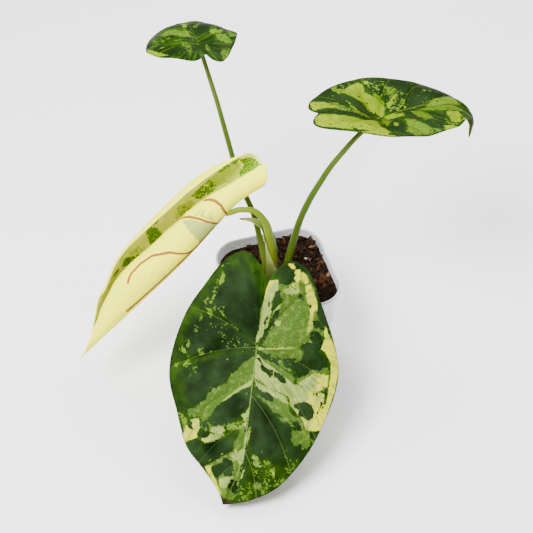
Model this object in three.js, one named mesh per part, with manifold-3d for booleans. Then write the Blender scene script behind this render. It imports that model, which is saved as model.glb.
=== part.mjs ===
// A potted variegated dragon scale alocasia: four leaves on long stalks in a clear square nursery pot.
// Millimetres, +Z up. The origin is the middle of the pot's underside, and the pot's sides face X and Y.

import * as THREE from 'three';
import { LoftGeometry } from 'three/addons/geometries/LoftGeometry.js';
import { mergeVertices } from 'three/addons/utils/BufferGeometryUtils.js';
import Module from 'manifold-3d';

const wasm = await Module();
wasm.setup();

const CLEARANCE = 0.3;                 // gap kept between pieces that touch
const PLANT_TURN = THREE.MathUtils.degToRad( - 17 );   // the plant stands turned in its pot

// The pot: a thin rounded square tub with a wider band under its rim
const POT_HEIGHT = 75;
const POT_RIM_HALF = 40;
const POT_CORNER = 20;
const POT_FOOT_HALF = 33.1;
const POT_BODY_TOP_HALF = 37;
const POT_WALL = 1.4;
const POT_FLOOR = 2;
const BAND_HEIGHT = 12.5;
const BAND_STEP = 1;
const LIP = 0.8;
const FIN = { thick: 1.1, proud: 1, height: 9 };
const DRAIN = { radius: 3, offset: 17 };
const CORNER_STEPS = 6;

// The soil: coarse coir chips, a little below the rim, heaped up towards one corner
const SOIL_TOP = 68.3;
const SOIL_SLOPE = { towards: THREE.MathUtils.degToRad( 30 ), rise: 0.045 };
const SOIL_RINGS = 9;
const CHIPS = { count: 90, radius: [ 2, 4.5 ], height: [ 0.5, 1.9 ] };

// The crown: the short stem that the stalks grow from, with its roots
const CROWN = { x: - 4.2, y: - 3.2, top: 69.5, radius: 11.2, bottom: 46 };
const ROOTS = { count: 7, radius: 1.5, reach: 23, bottom: 12 };

// The blades
const BLADE = 0.9;                     // thickness
const RIB = 0.9;                       // how far the midrib stands out of the underside
const VEIN_RIB = 0.5;
const BLADE_STEP = 0.05;               // width of a strip of blade, as a share of half its margin
const SINUS_SHARE = 0.5;               // share of the strips that start at the stalk
const STRIP_SPREAD = 1.9;              // crowds the other strips' starts towards the stalk
const VEIN_ARCH = 0.12;                // how far the veins bow towards the lobes

// Every leaf, in the plant's frame. joint is where the stalk meets the blade. heading, slope and roll
// (degrees) turn the blade from lying flat with its tip towards +X. Margins go from the notch round a
// lobe to the tip, in shares of size, the length from joint to tip: along the midrib, then across it.
// veins are shares of half the margin. droop is the midrib's bend (radians down) along the blade, and
// curl is the bend across it, as 1 / radius in mm, upwards, on each side.
const LEAVES = {
	front: {
		joint: [ - 14.6, - 68.2, 72 ], heading: - 98, slope: 38, roll: 0, size: 107, rows: 8,
		right: { margin: [ [ - 0.43, 0.028 ], [ - 0.49, 0.073 ], [ - 0.56, 0.155 ], [ - 0.505, 0.28 ],
			[ - 0.3, 0.384 ], [ - 0.03, 0.5 ], [ 0.16, 0.535 ], [ 0.375, 0.493 ], [ 0.617, 0.404 ],
			[ 0.84, 0.255 ], [ 0.955, 0.09 ], [ 1.01, - 0.1 ] ],
		start: 0.56, spread: 1.7, veins: [ 0, 0.18, 0.45, 0.63, 0.77, 0.9, 1 ] },
		left: { margin: [ [ - 0.43, 0.028 ], [ - 0.5, - 0.02 ], [ - 0.596, - 0.13 ], [ - 0.53, - 0.26 ],
			[ - 0.36, - 0.376 ], [ - 0.143, - 0.49 ], [ 0.196, - 0.55 ], [ 0.47, - 0.458 ],
			[ 0.678, - 0.369 ], [ 0.829, - 0.222 ], [ 0.94, - 0.13 ], [ 1.01, - 0.1 ] ],
		start: 0.5, spread: 2.2, veins: [ 0, 0.36, 0.54, 0.725, 0.84, 0.92, 1 ] },
		bulge: 2.6, droop: [ [ - 0.6, 0 ], [ 0, 0 ], [ 0.35, - 0.1 ], [ 0.6, 0 ], [ 1.05, 0.16 ] ],
		curl: { right: [ [ 0, - 1 / 300 ] ], left: [ [ 0, - 1 / 300 ] ] }, funnel: [ 1.5, 14 ],
	},
	right: {
		joint: [ 66.9, 28, 192 ], heading: 15.7, slope: 5.1, roll: 5.9, size: 65.2, rows: 8,
		right: { margin: [ [ - 0.564, 0.028 ], [ - 0.65, 0.015 ], [ - 0.712, 0.13 ], [ - 0.623, 0.295 ],
			[ - 0.407, 0.448 ], [ - 0.1, 0.505 ], [ 0.143, 0.494 ], [ 0.371, 0.475 ], [ 0.58, 0.43 ],
			[ 0.84, 0.3 ], [ 0.965, 0.12 ], [ 1.005, 0.01 ], [ 1.06, - 0.018 ], [ 1.14, - 0.03 ] ],
		start: 0.5, spread: 1.9, veins: [ 0, 0.2, 0.4, 0.55, 0.7, 0.84, 1 ] },
		left: { margin: [ [ - 0.564, 0.028 ], [ - 0.662, - 0.01 ], [ - 0.748, - 0.15 ],
			[ - 0.673, - 0.285 ], [ - 0.44, - 0.4 ], [ - 0.2, - 0.487 ], [ 0.161, - 0.53 ],
			[ 0.431, - 0.49 ], [ 0.696, - 0.385 ], [ 0.83, - 0.235 ], [ 0.92, - 0.13 ],
			[ 1, - 0.062 ], [ 1.06, - 0.044 ], [ 1.14, - 0.03 ] ],
		start: 0.5, spread: 1.9, veins: [ 0, 0.24, 0.45, 0.6, 0.77, 0.9, 1 ] },
		bulge: 1.5, droop: [ [ - 0.75, - 0.15 ], [ - 0.3, 0.06 ], [ 0, - 0.06 ], [ 0.25, 0.14 ], [ 0.5, - 0.02 ],
			[ 0.75, 0.25 ], [ 0.84, 0.47 ], [ 0.89, 0.75 ], [ 0.93, 1.35 ], [ 1.14, 1.55 ] ],
		curl: {
			right: [ [ - 0.6, - 1 / 130 ], [ - 0.2, 1 / 210 ], [ 0.15, 1 / 192 ], [ 0.5, 0 ], [ 0.8, - 1 / 69 ] ],
			left: [ [ - 0.6, 1 / 330 ], [ - 0.2, 0 ], [ 0.15, - 1 / 247 ], [ 0.5, - 1 / 181 ], [ 0.8, - 1 / 88 ] ],
		},
		funnel: [ 8.5, 19 ],
	},
	back: {
		joint: [ - 53.5, 66, 224.2 ], heading: 109, slope: 5, roll: - 0.6, size: 53.2, rows: 7,
		right: { margin: [ [ - 0.348, 0.01 ], [ - 0.408, 0.072 ], [ - 0.442, 0.147 ], [ - 0.4, 0.23 ],
			[ - 0.222, 0.371 ], [ - 0.053, 0.522 ], [ 0.128, 0.609 ], [ 0.371, 0.65 ], [ 0.644, 0.5 ],
			[ 0.873, 0.242 ], [ 1, 0.05 ], [ 1.12, - 0.05 ] ],
		start: 0.5, spread: 1.9, veins: [ 0, 0.2, 0.4, 0.55, 0.7, 0.84, 1 ] },
		left: { margin: [ [ - 0.348, 0.01 ], [ - 0.5, - 0.03 ], [ - 0.58, - 0.13 ], [ - 0.46, - 0.25 ],
			[ - 0.314, - 0.34 ], [ - 0.123, - 0.454 ], [ 0.17, - 0.57 ], [ 0.43, - 0.52 ],
			[ 0.62, - 0.41 ], [ 0.809, - 0.24 ], [ 0.97, - 0.11 ], [ 1.12, - 0.05 ] ],
		start: 0.5, spread: 1.9, veins: [ 0, 0.24, 0.45, 0.6, 0.77, 0.9, 1 ] },
		bulge: 0.7, droop: [ [ - 0.6, - 0.02 ], [ 0, - 0.02 ], [ 0.35, 0.23 ], [ 0.7, 0.54 ], [ 1.12, 1.34 ] ],
		curl: {
			right: [ [ - 0.5, - 1 / 57 ], [ 0, - 1 / 50 ], [ 0.5, - 1 / 51 ], [ 1.1, - 1 / 45 ] ],
			left: [ [ - 0.5, - 1 / 61 ], [ 0, - 1 / 85 ], [ 0.5, - 1 / 43 ], [ 1.1, - 1 / 35 ] ],
		},
		funnel: [ 4.3, 11 ],
	},
	new: {
		joint: [ - 35.6, - 5.2, 135.6 ], heading: - 156, slope: 42.6, roll: - 46.6, size: 150.4, rows: 16,
		right: { margin: [ [ - 0.212, 0.017 ], [ - 0.26, 0.045 ], [ - 0.28, 0.114 ], [ - 0.245, 0.19 ],
			[ - 0.17, 0.25 ], [ 0, 0.325 ], [ 0.2, 0.39 ], [ 0.4, 0.375 ], [ 0.55, 0.325 ], [ 0.65, 0.265 ],
			[ 0.76, 0.16 ], [ 0.86, 0.07 ], [ 0.93, 0.032 ], [ 1, 0 ] ],
		start: 0.48, spread: 2, veins: [ 0, 0.3, 0.5, 0.6, 0.76, 0.88, 1 ] },
		left: { margin: [ [ - 0.212, 0.017 ], [ - 0.24, - 0.08 ], [ - 0.245, - 0.17 ], [ - 0.225, - 0.24 ],
			[ - 0.17, - 0.31 ], [ 0, - 0.42 ], [ 0.2, - 0.445 ], [ 0.4, - 0.43 ], [ 0.55, - 0.385 ],
			[ 0.65, - 0.325 ], [ 0.76, - 0.21 ], [ 0.86, - 0.09 ], [ 0.93, - 0.04 ], [ 1, 0 ] ],
		start: 0.52, spread: 2, veins: [ 0, 0.3, 0.5, 0.6, 0.76, 0.88, 1 ] },
		bulge: 0.5,
		droop: [ [ - 0.35, - 0.35 ], [ - 0.12, - 0.21 ], [ 0, 0.03 ], [ 0.45, - 0.05 ], [ 1, - 0.065 ] ],
		curl: {
			right: [ [ - 0.32, 1 / 6.4 ], [ - 0.12, 1 / 6.4 ], [ 0.05, 1 / 9.6 ], [ 0.4, 1 / 11.9 ],
				[ 0.55, 1 / 12 ], [ 0.65, 1 / 10.3 ], [ 0.76, 1 / 7.4 ], [ 0.86, 1 / 4.4 ], [ 1, 1 / 3.8 ] ],
			left: [ [ - 0.32, 1 / 11 ], [ - 0.12, 1 / 14 ], [ 0.05, 1 / 16.8 ], [ 0.4, 1 / 17.8 ],
				[ 0.55, 1 / 16 ], [ 0.65, 1 / 13 ], [ 0.76, 1 / 9.6 ], [ 0.86, 1 / 5.4 ], [ 1, 1 / 4 ] ],
		},
		funnel: [ 0, 10 ],
	},
};

// The stalks, in the plant's frame: points from the crown to the blade, and the radius at shares of
// the length
const STALKS = {
	front: { radius: [ [ 0, 2.6 ], [ 1, 1.8 ] ], route: [ [ - 4.8, - 10.4, 64.5 ], [ - 5.2, - 14, 76 ],
		[ - 6.6, - 25, 85.5 ], [ - 9.2, - 41, 84.5 ], [ - 12, - 56, 75.5 ], [ - 14, - 64.8, 69.6 ],
		[ - 14.7, - 68.4, 72.6 ] ] },
	right: { radius: [ [ 0, 2.9 ], [ 1, 1.6 ] ],
		route: [ [ 3, 0.6, 64.5 ], [ 6.6, 3, 80 ], [ 16.7, 10.2, 120.2 ],
		[ 31.8, 16.9, 151.4 ], [ 44.9, 21.5, 170.2 ], [ 55.8, 24.9, 182.7 ], [ 67.1, 28.1, 192.6 ] ] },
	back: { radius: [ [ 0, 2.3 ], [ 1, 1.5 ] ],
		route: [ [ - 8.4, 3.6, 64.5 ], [ - 10.2, 8, 82 ], [ - 17, 26, 105 ],
		[ - 25.6, 38, 121.5 ], [ - 32.6, 46, 146 ], [ - 41.4, 56, 181 ], [ - 50.4, 64.2, 213 ],
		[ - 53.7, 66.2, 226 ] ] },
	new: { radius: [ [ 0, 3.6 ], [ 0.45, 3.3 ], [ 0.62, 2.9 ], [ 0.8, 2.1 ], [ 1, 1.9 ] ],
		route: [ [ - 4.3, - 3.2, 64.5 ], [ - 4.1, - 3.5, 80 ], [ - 4.7, - 4, 102.5 ],
			[ - 6.3, - 4.4, 115.4 ], [ - 9.4, - 4.7, 128 ], [ - 16, - 5.1, 138 ], [ - 25.5, - 5.4, 140 ],
			[ - 31.6, - 5.4, 137.6 ], [ - 36, - 5, 135.9 ] ] },
};
const STALK_SIDES = 10;
const STALK_STEPS = 22;

// The papery sheath that the new leaf came out of. Its rows go up the new stalk: share of the stalk's
// length, then the two edges, as degrees round the stalk from the front towards -X. The first edge
// curls away from the stalk, by the flare at the stalk's full length. Its foot stands in a wider socket.
const SHEATH = {
	wall: 0.7, gap: 0.4, flare: 1.6, socket: 0.4, steps: 10,
	rows: [ [ 0, - 68, 262 ], [ 0.1, - 62, 260 ], [ 0.2, - 30, 258 ], [ 0.3, 12, 252 ], [ 0.42, 48, 244 ],
		[ 0.52, 66, 226 ], [ 0.6, 84, 206 ] ],
	tip: [ [ - 18.6, - 5, 129.6 ], [ - 22.4, - 5, 130.6 ], [ - 26.6, - 5, 131 ] ],
	tipWidth: [ 4.4, 2.6, 1.1 ],
};

function seeded( seed ) {

	let state = seed;
	return () => {

		state = ( state * 1664525 + 1013904223 ) % 4294967296;
		return state / 4294967296;

	};

}

// A smooth curve through [place, value] stations, level beyond its ends
function along( stations, place ) {

	const last = stations.length - 1;
	if ( place <= stations[ 0 ][ 0 ] ) return stations[ 0 ][ 1 ];
	if ( place >= stations[ last ][ 0 ] ) return stations[ last ][ 1 ];
	let i = 0;
	while ( stations[ i + 1 ][ 0 ] < place ) i ++;
	const slope = ( k ) => {

		const a = stations[ Math.max( k - 1, 0 ) ];
		const b = stations[ Math.min( k + 1, last ) ];
		return ( b[ 1 ] - a[ 1 ] ) / ( b[ 0 ] - a[ 0 ] );

	};

	const [ x0, y0 ] = stations[ i ];
	const [ x1, y1 ] = stations[ i + 1 ];
	const width = x1 - x0;
	const t = ( place - x0 ) / width;
	return y0 * ( 1 + 2 * t ) * ( 1 - t ) ** 2 + slope( i ) * width * t * ( 1 - t ) ** 2
		+ y1 * t * t * ( 3 - 2 * t ) - slope( i + 1 ) * width * t * t * ( 1 - t );

}

// Closed meshes and solids

// Shared corners are merged, and triangles that this leaves without any area are dropped
function welded( geometry ) {

	const bare = new THREE.BufferGeometry();
	bare.setAttribute( 'position', geometry.getAttribute( 'position' ) );
	bare.setIndex( geometry.getIndex() );
	const merged = mergeVertices( bare, 1e-4 );
	const index = merged.getIndex().array;
	const kept = [];
	for ( let k = 0; k < index.length; k += 3 ) {

		const [ a, b, c ] = [ index[ k ], index[ k + 1 ], index[ k + 2 ] ];
		if ( a !== b && b !== c && c !== a ) kept.push( a, b, c );

	}

	merged.setIndex( kept );
	merged.computeVertexNormals();
	return merged;

}

function toSolid( geometry ) {

	const merged = welded( geometry );
	return new wasm.Manifold( new wasm.Mesh( {
		numProp: 3,
		vertProperties: new Float32Array( merged.getAttribute( 'position' ).array ),
		triVerts: new Uint32Array( merged.getIndex().array ),
	} ) );

}

function toGeometry( solid ) {

	const mesh = solid.getMesh();
	const geometry = new THREE.BufferGeometry();
	geometry.setAttribute( 'position', new THREE.BufferAttribute( new Float32Array( mesh.vertProperties ), 3 ) );
	geometry.setIndex( new THREE.BufferAttribute( new Uint32Array( mesh.triVerts ), 1 ) );
	geometry.computeVertexNormals();
	return geometry;

}

// A thin closed sheet. Each patch has two matching grids of points, over and under, split into the
// same triangles on both faces, and walls along the sides that it doesn't share with another patch.
function sheetGeometry( patches ) {

	const points = [];
	const triangle = ( a, b, c, flip ) => points.push( a, flip ? c : b, flip ? b : c );
	const quad = ( a, b, c, d, flip ) => {

		triangle( a, b, c, flip );
		triangle( a, c, d, flip );

	};

	for ( const { over, under, flip, walls } of patches ) {

		const rows = over.length - 1;
		const columns = over[ 0 ].length - 1;
		for ( let i = 0; i < rows; i ++ ) {

			for ( let j = 0; j < columns; j ++ ) {

				quad( over[ i ][ j ], over[ i + 1 ][ j ], over[ i + 1 ][ j + 1 ], over[ i ][ j + 1 ], flip );
				quad( under[ i ][ j ], under[ i + 1 ][ j ], under[ i + 1 ][ j + 1 ], under[ i ][ j + 1 ], ! flip );

			}

		}

		const wall = ( path ) => {

			for ( let k = 0; k < path.length - 1; k ++ ) {

				const [ i, j ] = path[ k ];
				const [ m, n ] = path[ k + 1 ];
				quad( over[ i ][ j ], over[ m ][ n ], under[ m ][ n ], under[ i ][ j ], flip );

			}

		};

		const row = ( i ) => over[ 0 ].map( ( _, j ) => [ i, j ] );
		const column = ( j ) => over.map( ( _, i ) => [ i, j ] );
		if ( walls.includes( 'far' ) ) wall( column( columns ) );
		if ( walls.includes( 'near' ) ) wall( column( 0 ).reverse() );
		if ( walls.includes( 'first' ) ) wall( row( 0 ) );
		if ( walls.includes( 'last' ) ) wall( row( rows ).reverse() );

	}

	return welded( new THREE.BufferGeometry().setFromPoints( points ) );

}

// The blades

class Blade {

	constructor( leaf ) {

		this.leaf = leaf;
		this.half = {};
		for ( const side of [ 'right', 'left' ] ) {

			const points = leaf[ side ].margin.map( ( p ) => new THREE.Vector2( p[ 0 ], p[ 1 ] ) );
			const curve = new THREE.SplineCurve( points );
			curve.arcLengthDivisions = 400;
			this.half[ side ] = curve;

		}

		this.tip = leaf.right.margin.at( - 1 );
		this.spine = this.bentSpine();

	}

	// The midrib's own curve, as points [u, x, z] worked out in small steps both ways from the joint
	bentSpine() {

		const { size, droop } = this.leaf;
		const step = 0.01;
		const walk = ( sign, count ) => {

			const places = [];
			let x = 0;
			let z = 0;
			for ( let k = 1; k <= count; k ++ ) {

				const angle = along( droop, sign * ( k - 0.5 ) * step );
				x += sign * Math.cos( angle ) * step * size;
				z -= sign * Math.sin( angle ) * step * size;
				places.push( [ sign * k * step, x, z ] );

			}

			return places;

		};

		return [ ...walk( - 1, 80 ).reverse(), [ 0, 0, 0 ], ...walk( 1, 130 ) ];

	}

	spineAt( u ) {

		const first = this.spine[ 0 ][ 0 ];
		const at = ( u - first ) / 0.01;
		const i = Math.min( Math.max( Math.floor( at ), 0 ), this.spine.length - 2 );
		const t = at - i;
		const [ a, b ] = [ this.spine[ i ], this.spine[ i + 1 ] ];
		return { x: a[ 1 ] + ( b[ 1 ] - a[ 1 ] ) * t, z: a[ 2 ] + ( b[ 2 ] - a[ 2 ] ) * t };

	}

	// Where the strip at this share of the margin starts on the midrib, and where it ends on the margin
	strip( side, share ) {

		const { start, spread } = this.leaf[ side ];
		const y = Math.max( 0, ( share - SINUS_SHARE ) / ( 1 - SINUS_SHARE ) );
		const length = share < SINUS_SHARE
			? start * share / SINUS_SHARE
			: start + ( 1 - start ) * y ** ( STRIP_SPREAD / spread );
		const k = y ** STRIP_SPREAD;
		const lean = Math.max( 0, ( k - 0.6 ) / 0.4 ) ** 2;
		return {
			from: [ k * this.tip[ 0 ], lean * this.tip[ 1 ] ],
			to: this.half[ side ].getPointAt( Math.min( length, 1 ) ),
			bow: VEIN_ARCH * Math.min( length / 0.15, 1 ),
		};

	}

	// The blade laid flat: strips run out along the veins, which bow towards the lobes
	flat( side, share, out ) {

		const { from, to, bow } = this.strip( side, share );
		const dx = to.x - from[ 0 ];
		const dy = to.y - from[ 1 ];
		const mx = from[ 0 ] + dx / 2 - Math.abs( dy ) * bow;
		const my = from[ 1 ] + dy / 2 + Math.sign( dy ) * dx * bow;
		const [ a, b, c ] = [ ( 1 - out ) ** 2, 2 * ( 1 - out ) * out, out * out ];
		return [ a * from[ 0 ] + b * mx + c * to.x, a * from[ 1 ] + b * my + c * to.y ];

	}

	// Between two veins the blade swells upwards, most of all half way out
	swell( side, share, out ) {

		const { veins } = this.leaf[ side ];
		let i = 0;
		while ( i < veins.length - 2 && veins[ i + 1 ] < share ) i ++;
		const x = ( share - veins[ i ] ) / ( veins[ i + 1 ] - veins[ i ] );
		const t = Math.min( out / 0.45, 1 );
		const rise = t * t * ( 3 - 2 * t );
		const fall = 1 - 0.75 * Math.max( 0, ( out - 0.55 ) / 0.45 ) ** 2;
		return this.leaf.bulge * Math.max( 0, Math.sin( Math.PI * Math.min( x, 1 ) ) ) ** 0.8 * rise * fall;

	}

	// How far the veins stand out of the underside
	rib( side, share, out ) {

		const isVein = ( vein ) => vein > 0 && vein < 1 && Math.abs( vein - share ) < 1e-6;
		const onMidrib = out < 1e-6;
		const midrib = share >= SINUS_SHARE ? RIB * ( 1 - ( 2 * share - 1 ) ** 2 ) * Math.max( 0, 1 - 8 * out ) : 0;
		const vein = ! onMidrib && this.leaf[ side ].veins.some( isVein ) ? VEIN_RIB * ( 1 - out ) : 0;
		const fan = onMidrib && share < SINUS_SHARE ? RIB : 0;
		return Math.max( midrib, vein, fan );

	}

	// A point of the bent blade, w above its middle surface, in the leaf's own frame
	place( [ u, v ], w ) {

		const { size, curl, droop, funnel } = this.leaf;
		const side = v > 0 ? 'right' : 'left';
		const bend = along( curl[ side ], u );
		const across = Math.abs( v ) * size;
		const turn = bend * across;
		const straight = Math.abs( turn ) < 1e-6;
		const x = straight ? across : Math.sin( turn ) / bend;
		const up = straight ? 0 : ( 1 - Math.cos( turn ) ) / bend;
		const sideways = Math.sign( v ) * ( x - w * Math.sin( turn ) );
		const reach = ( u * u + v * v ) * size * size;
		const height = up + w * Math.cos( turn ) + funnel[ 0 ] * ( 1 - Math.exp( - reach / funnel[ 1 ] ** 2 ) );
		const spine = this.spineAt( u );
		const angle = along( droop, u );
		return new THREE.Vector3(
			spine.x + height * Math.sin( angle ), sideways, spine.z + height * Math.cos( angle ) );

	}

	// The strips' places: every vein of both halves, and even steps between them
	shares() {

		const veins = [ ...new Set( [ ...this.leaf.right.veins, ...this.leaf.left.veins, SINUS_SHARE ] ) ];
		veins.sort( ( a, b ) => a - b );
		const places = [ 0 ];
		for ( let k = 0; k < veins.length - 1; k ++ ) {

			const steps = Math.ceil( ( veins[ k + 1 ] - veins[ k ] ) / BLADE_STEP - 1e-9 );
			for ( let i = 1; i < steps; i ++ ) {

				places.push( veins[ k ] + ( veins[ k + 1 ] - veins[ k ] ) * i / steps );

			}

			places.push( veins[ k + 1 ] );

		}

		return places;

	}

	geometry() {

		const { rows } = this.leaf;
		const shares = this.shares();
		const patches = [ 'right', 'left' ].map( ( side ) => {

			const grid = ( height ) => shares.map( ( share ) =>
				Array.from( { length: rows + 1 }, ( _, j ) =>
					this.place( this.flat( side, share, j / rows ), height( share, j / rows ) ) ) );
			return {
				over: grid( ( share, out ) => this.swell( side, share, out ) + BLADE / 2 ),
				under: grid( ( share, out ) =>
					this.swell( side, share, out ) - BLADE / 2 - this.rib( side, share, out ) ),
				flip: side === 'left',
				walls: [ 'far' ],
			};

		} );
		return sheetGeometry( patches );

	}

}

function leafGroup( leaf ) {

	const group = new THREE.Group();
	const turn = ( degrees ) => THREE.MathUtils.degToRad( degrees );
	group.position.fromArray( leaf.joint );
	group.rotation.set( - turn( leaf.roll ), turn( leaf.slope ), turn( leaf.heading ), 'ZYX' );
	return group;

}

// The stalks

function routeCurve( route ) {

	return new THREE.CatmullRomCurve3( route.map( ( p ) => new THREE.Vector3( ...p ) ), false, 'centripetal' );

}

// Two directions square to the curve: towards the front, and towards -X from there
function around( curve, share ) {

	const tangent = curve.getTangentAt( share );
	const front = new THREE.Vector3( 0, - 1, 0 );
	front.addScaledVector( tangent, - front.dot( tangent ) ).normalize();
	const left = new THREE.Vector3().crossVectors( front, tangent ).normalize();
	return { tangent, front, left };

}

function tube( route, radius, grow = 0, sides = STALK_SIDES, steps = STALK_STEPS ) {

	const curve = routeCurve( route );
	const sections = [];
	for ( let i = 0; i <= steps; i ++ ) {

		const share = i / steps;
		const { tangent, front, left } = around( curve, share );
		const centre = curve.getPointAt( share );
		if ( i === 0 ) centre.addScaledVector( tangent, - grow );
		if ( i === steps ) centre.addScaledVector( tangent, grow );
		const r = along( radius, share ) + grow;
		sections.push( Array.from( { length: sides }, ( _, k ) => {

			const angle = 2 * Math.PI * k / sides;
			return centre.clone().addScaledVector( front, r * Math.cos( angle ) )
				.addScaledVector( left, - r * Math.sin( angle ) );

		} ) );

	}

	return new LoftGeometry( sections, { capStart: true, capEnd: true } );

}

// The stalk is cut off just under the blade, along the blade's own plane at the joint
function stalkGeometry( name ) {

	const block = new THREE.BoxGeometry( 30, 30, 20 );
	block.translate( 0, 0, 10 - BLADE / 2 - RIB - CLEARANCE );
	const group = leafGroup( LEAVES[ name ] );
	group.updateMatrix();
	block.applyMatrix4( group.matrix );
	const { route, radius } = STALKS[ name ];
	return toGeometry( toSolid( tube( route, radius ) ).subtract( toSolid( block ) ) );

}

function sheathGeometry() {

	const { wall, gap, flare, steps, rows, tip, tipWidth } = SHEATH;
	const { route, radius } = STALKS.new;
	const curve = routeCurve( route );
	const arc = ( share, from, to, wall ) => {

		const { front, left } = around( curve, share );
		const centre = curve.getPointAt( share );
		return Array.from( { length: steps + 1 }, ( _, k ) => {

			const angle = THREE.MathUtils.degToRad( from + ( to - from ) * k / steps );
			const r = along( radius, share ) + gap + wall + flare * share * ( 1 - k / steps ) ** 2;
			return centre.clone().addScaledVector( front, r * Math.cos( angle ) )
				.addScaledVector( left, r * Math.sin( angle ) );

		} );

	};

	const over = [];
	const under = [];
	for ( const [ share, from, to ] of rows ) {

		under.push( arc( share, from, to, 0 ) );
		over.push( arc( share, from, to, wall ) );

	}

	const bend = rows.at( - 1 )[ 0 ];
	const { front } = around( curve, bend );
	for ( let i = 0; i < tip.length; i ++ ) {

		const centre = new THREE.Vector3( ...tip[ i ] );
		const strip = ( lift ) => Array.from( { length: steps + 1 }, ( _, k ) => {

			const side = ( 0.5 - k / steps ) * tipWidth[ i ];
			const cup = ( 2 * side ) ** 2 * 0.03;
			return centre.clone().addScaledVector( front, side ).add( new THREE.Vector3( 0, 0, cup - lift ) );

		} );
		under.push( strip( 0 ) );
		over.push( strip( wall ) );

	}

	return sheetGeometry( [ { over, under, flip: false, walls: [ 'far', 'near', 'first', 'last' ] } ] );

}

// The pot

function ring( half, corner, z ) {

	const points = [];
	for ( let quarter = 0; quarter < 4; quarter ++ ) {

		for ( let i = 0; i <= CORNER_STEPS; i ++ ) {

			const angle = ( quarter + i / CORNER_STEPS ) * Math.PI / 2;
			const middle = ( quarter + 0.5 ) * Math.PI / 2;
			points.push( new THREE.Vector3(
				Math.sign( Math.cos( middle ) ) * ( half - corner ) + corner * Math.cos( angle ),
				Math.sign( Math.sin( middle ) ) * ( half - corner ) + corner * Math.sin( angle ), z ) );

		}

	}

	return points;

}

const bandFoot = POT_HEIGHT - BAND_HEIGHT;
const cornerAt = ( half ) => POT_CORNER - ( POT_RIM_HALF - half );
const bodyHalf = ( z ) => THREE.MathUtils.mapLinear( z, 0, bandFoot, POT_FOOT_HALF, POT_BODY_TOP_HALF );
const bandHalf = ( z ) => THREE.MathUtils.mapLinear( z, bandFoot, POT_HEIGHT, POT_BODY_TOP_HALF + BAND_STEP,
	POT_RIM_HALF );
const innerHalf = ( z ) => ( z > bandFoot ? bandHalf( z ) : bodyHalf( z ) ) - POT_WALL;

function potGeometry() {

	const at = ( half, z ) => ring( half, cornerAt( half ), z );
	const outside = [
		at( POT_FOOT_HALF - LIP, 0 ),
		at( bodyHalf( LIP ), LIP ),
		at( bodyHalf( bandFoot - BAND_STEP ), bandFoot - BAND_STEP ),
		at( bandHalf( bandFoot ), bandFoot ),
		at( bandHalf( POT_HEIGHT - LIP ), POT_HEIGHT - LIP ),
		at( POT_RIM_HALF - LIP / 2, POT_HEIGHT ),
	];
	const inside = [
		at( innerHalf( POT_FLOOR ) - LIP, POT_FLOOR ),
		at( innerHalf( POT_FLOOR + LIP ), POT_FLOOR + LIP ),
		at( innerHalf( bandFoot - BAND_STEP ), bandFoot - BAND_STEP ),
		at( innerHalf( bandFoot + BAND_STEP ), bandFoot + BAND_STEP ),
		at( innerHalf( POT_HEIGHT - LIP ), POT_HEIGHT - LIP ),
		at( innerHalf( POT_HEIGHT - LIP ) + LIP / 2, POT_HEIGHT + LIP ),
	];
	const filled = ( sections ) => toSolid( new LoftGeometry( sections, { capStart: true, capEnd: true } ) );
	let pot = filled( outside ).subtract( filled( inside ) );
	for ( let side = 0; side < 4; side ++ ) {

		for ( const end of [ - 1, 1 ] ) {

			const top = bandFoot - BAND_STEP / 2;
			const fin = new THREE.BoxGeometry( 2 * FIN.proud, FIN.thick, FIN.height );
			const half = bodyHalf( top - FIN.height / 2 );
			fin.translate( half, end * ( half - cornerAt( half ) ), top - FIN.height / 2 );
			fin.rotateZ( side * Math.PI / 2 );
			pot = pot.add( toSolid( fin ) );

		}

		const hole = new THREE.CylinderGeometry( DRAIN.radius, DRAIN.radius, 4 * POT_FLOOR, 16 );
		hole.rotateX( Math.PI / 2 );
		hole.translate( DRAIN.offset, DRAIN.offset, 0 );
		hole.rotateZ( side * Math.PI / 2 );
		pot = pot.subtract( toSolid( hole ) );

	}

	return toGeometry( pot );

}

// The soil and the crown

function crownSolid( grow = 0 ) {

	const { x, y, top, radius, bottom } = CROWN;
	const height = top - bottom;
	const profile = [ [ 0, 0 ], [ 0.55, 0.03 ], [ 0.86, 0.25 ], [ 0.98, 0.6 ], [ 1, 0.82 ], [ 0.86, 0.94 ],
		[ 0.5, 1 ], [ 0, 1.02 ] ];
	const outline = profile.map( ( [ out, up ] ) => new THREE.Vector2(
		out === 0 ? 0 : radius * out + grow, bottom + height * up + grow * Math.sign( up - 0.5 ) ) );
	const lump = new THREE.LatheGeometry( outline, 24 );
	lump.rotateX( Math.PI / 2 );
	lump.translate( x, y, 0 );
	let crown = toSolid( lump );
	const random = seeded( 5 );
	for ( let i = 0; i < ROOTS.count; i ++ ) {

		const turn = ( i + 0.5 * random() ) / ROOTS.count * 2 * Math.PI;
		const steps = [ [ 0.2, 0.95 ], [ 0.55, 0.8 ], [ 0.85, 0.5 ], [ 1, 0 ] ];
		const route = steps.map( ( [ out, up ] ) => {

			const angle = turn + 0.5 * ( random() - 0.5 ) * out;
			const reach = ROOTS.reach * out * ( 0.85 + 0.15 * random() );
			return [ x * ( 1 - out ) + reach * Math.cos( angle ), y * ( 1 - out ) + reach * Math.sin( angle ),
				ROOTS.bottom + ( bottom + 8 - ROOTS.bottom ) * up ];

		} );
		const taper = [ [ 0, ROOTS.radius ], [ 1, ROOTS.radius * 0.5 ] ];
		crown = crown.add( toSolid( tube( route, taper, grow, 6, 8 ) ) );

	}

	return crown;

}

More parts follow.
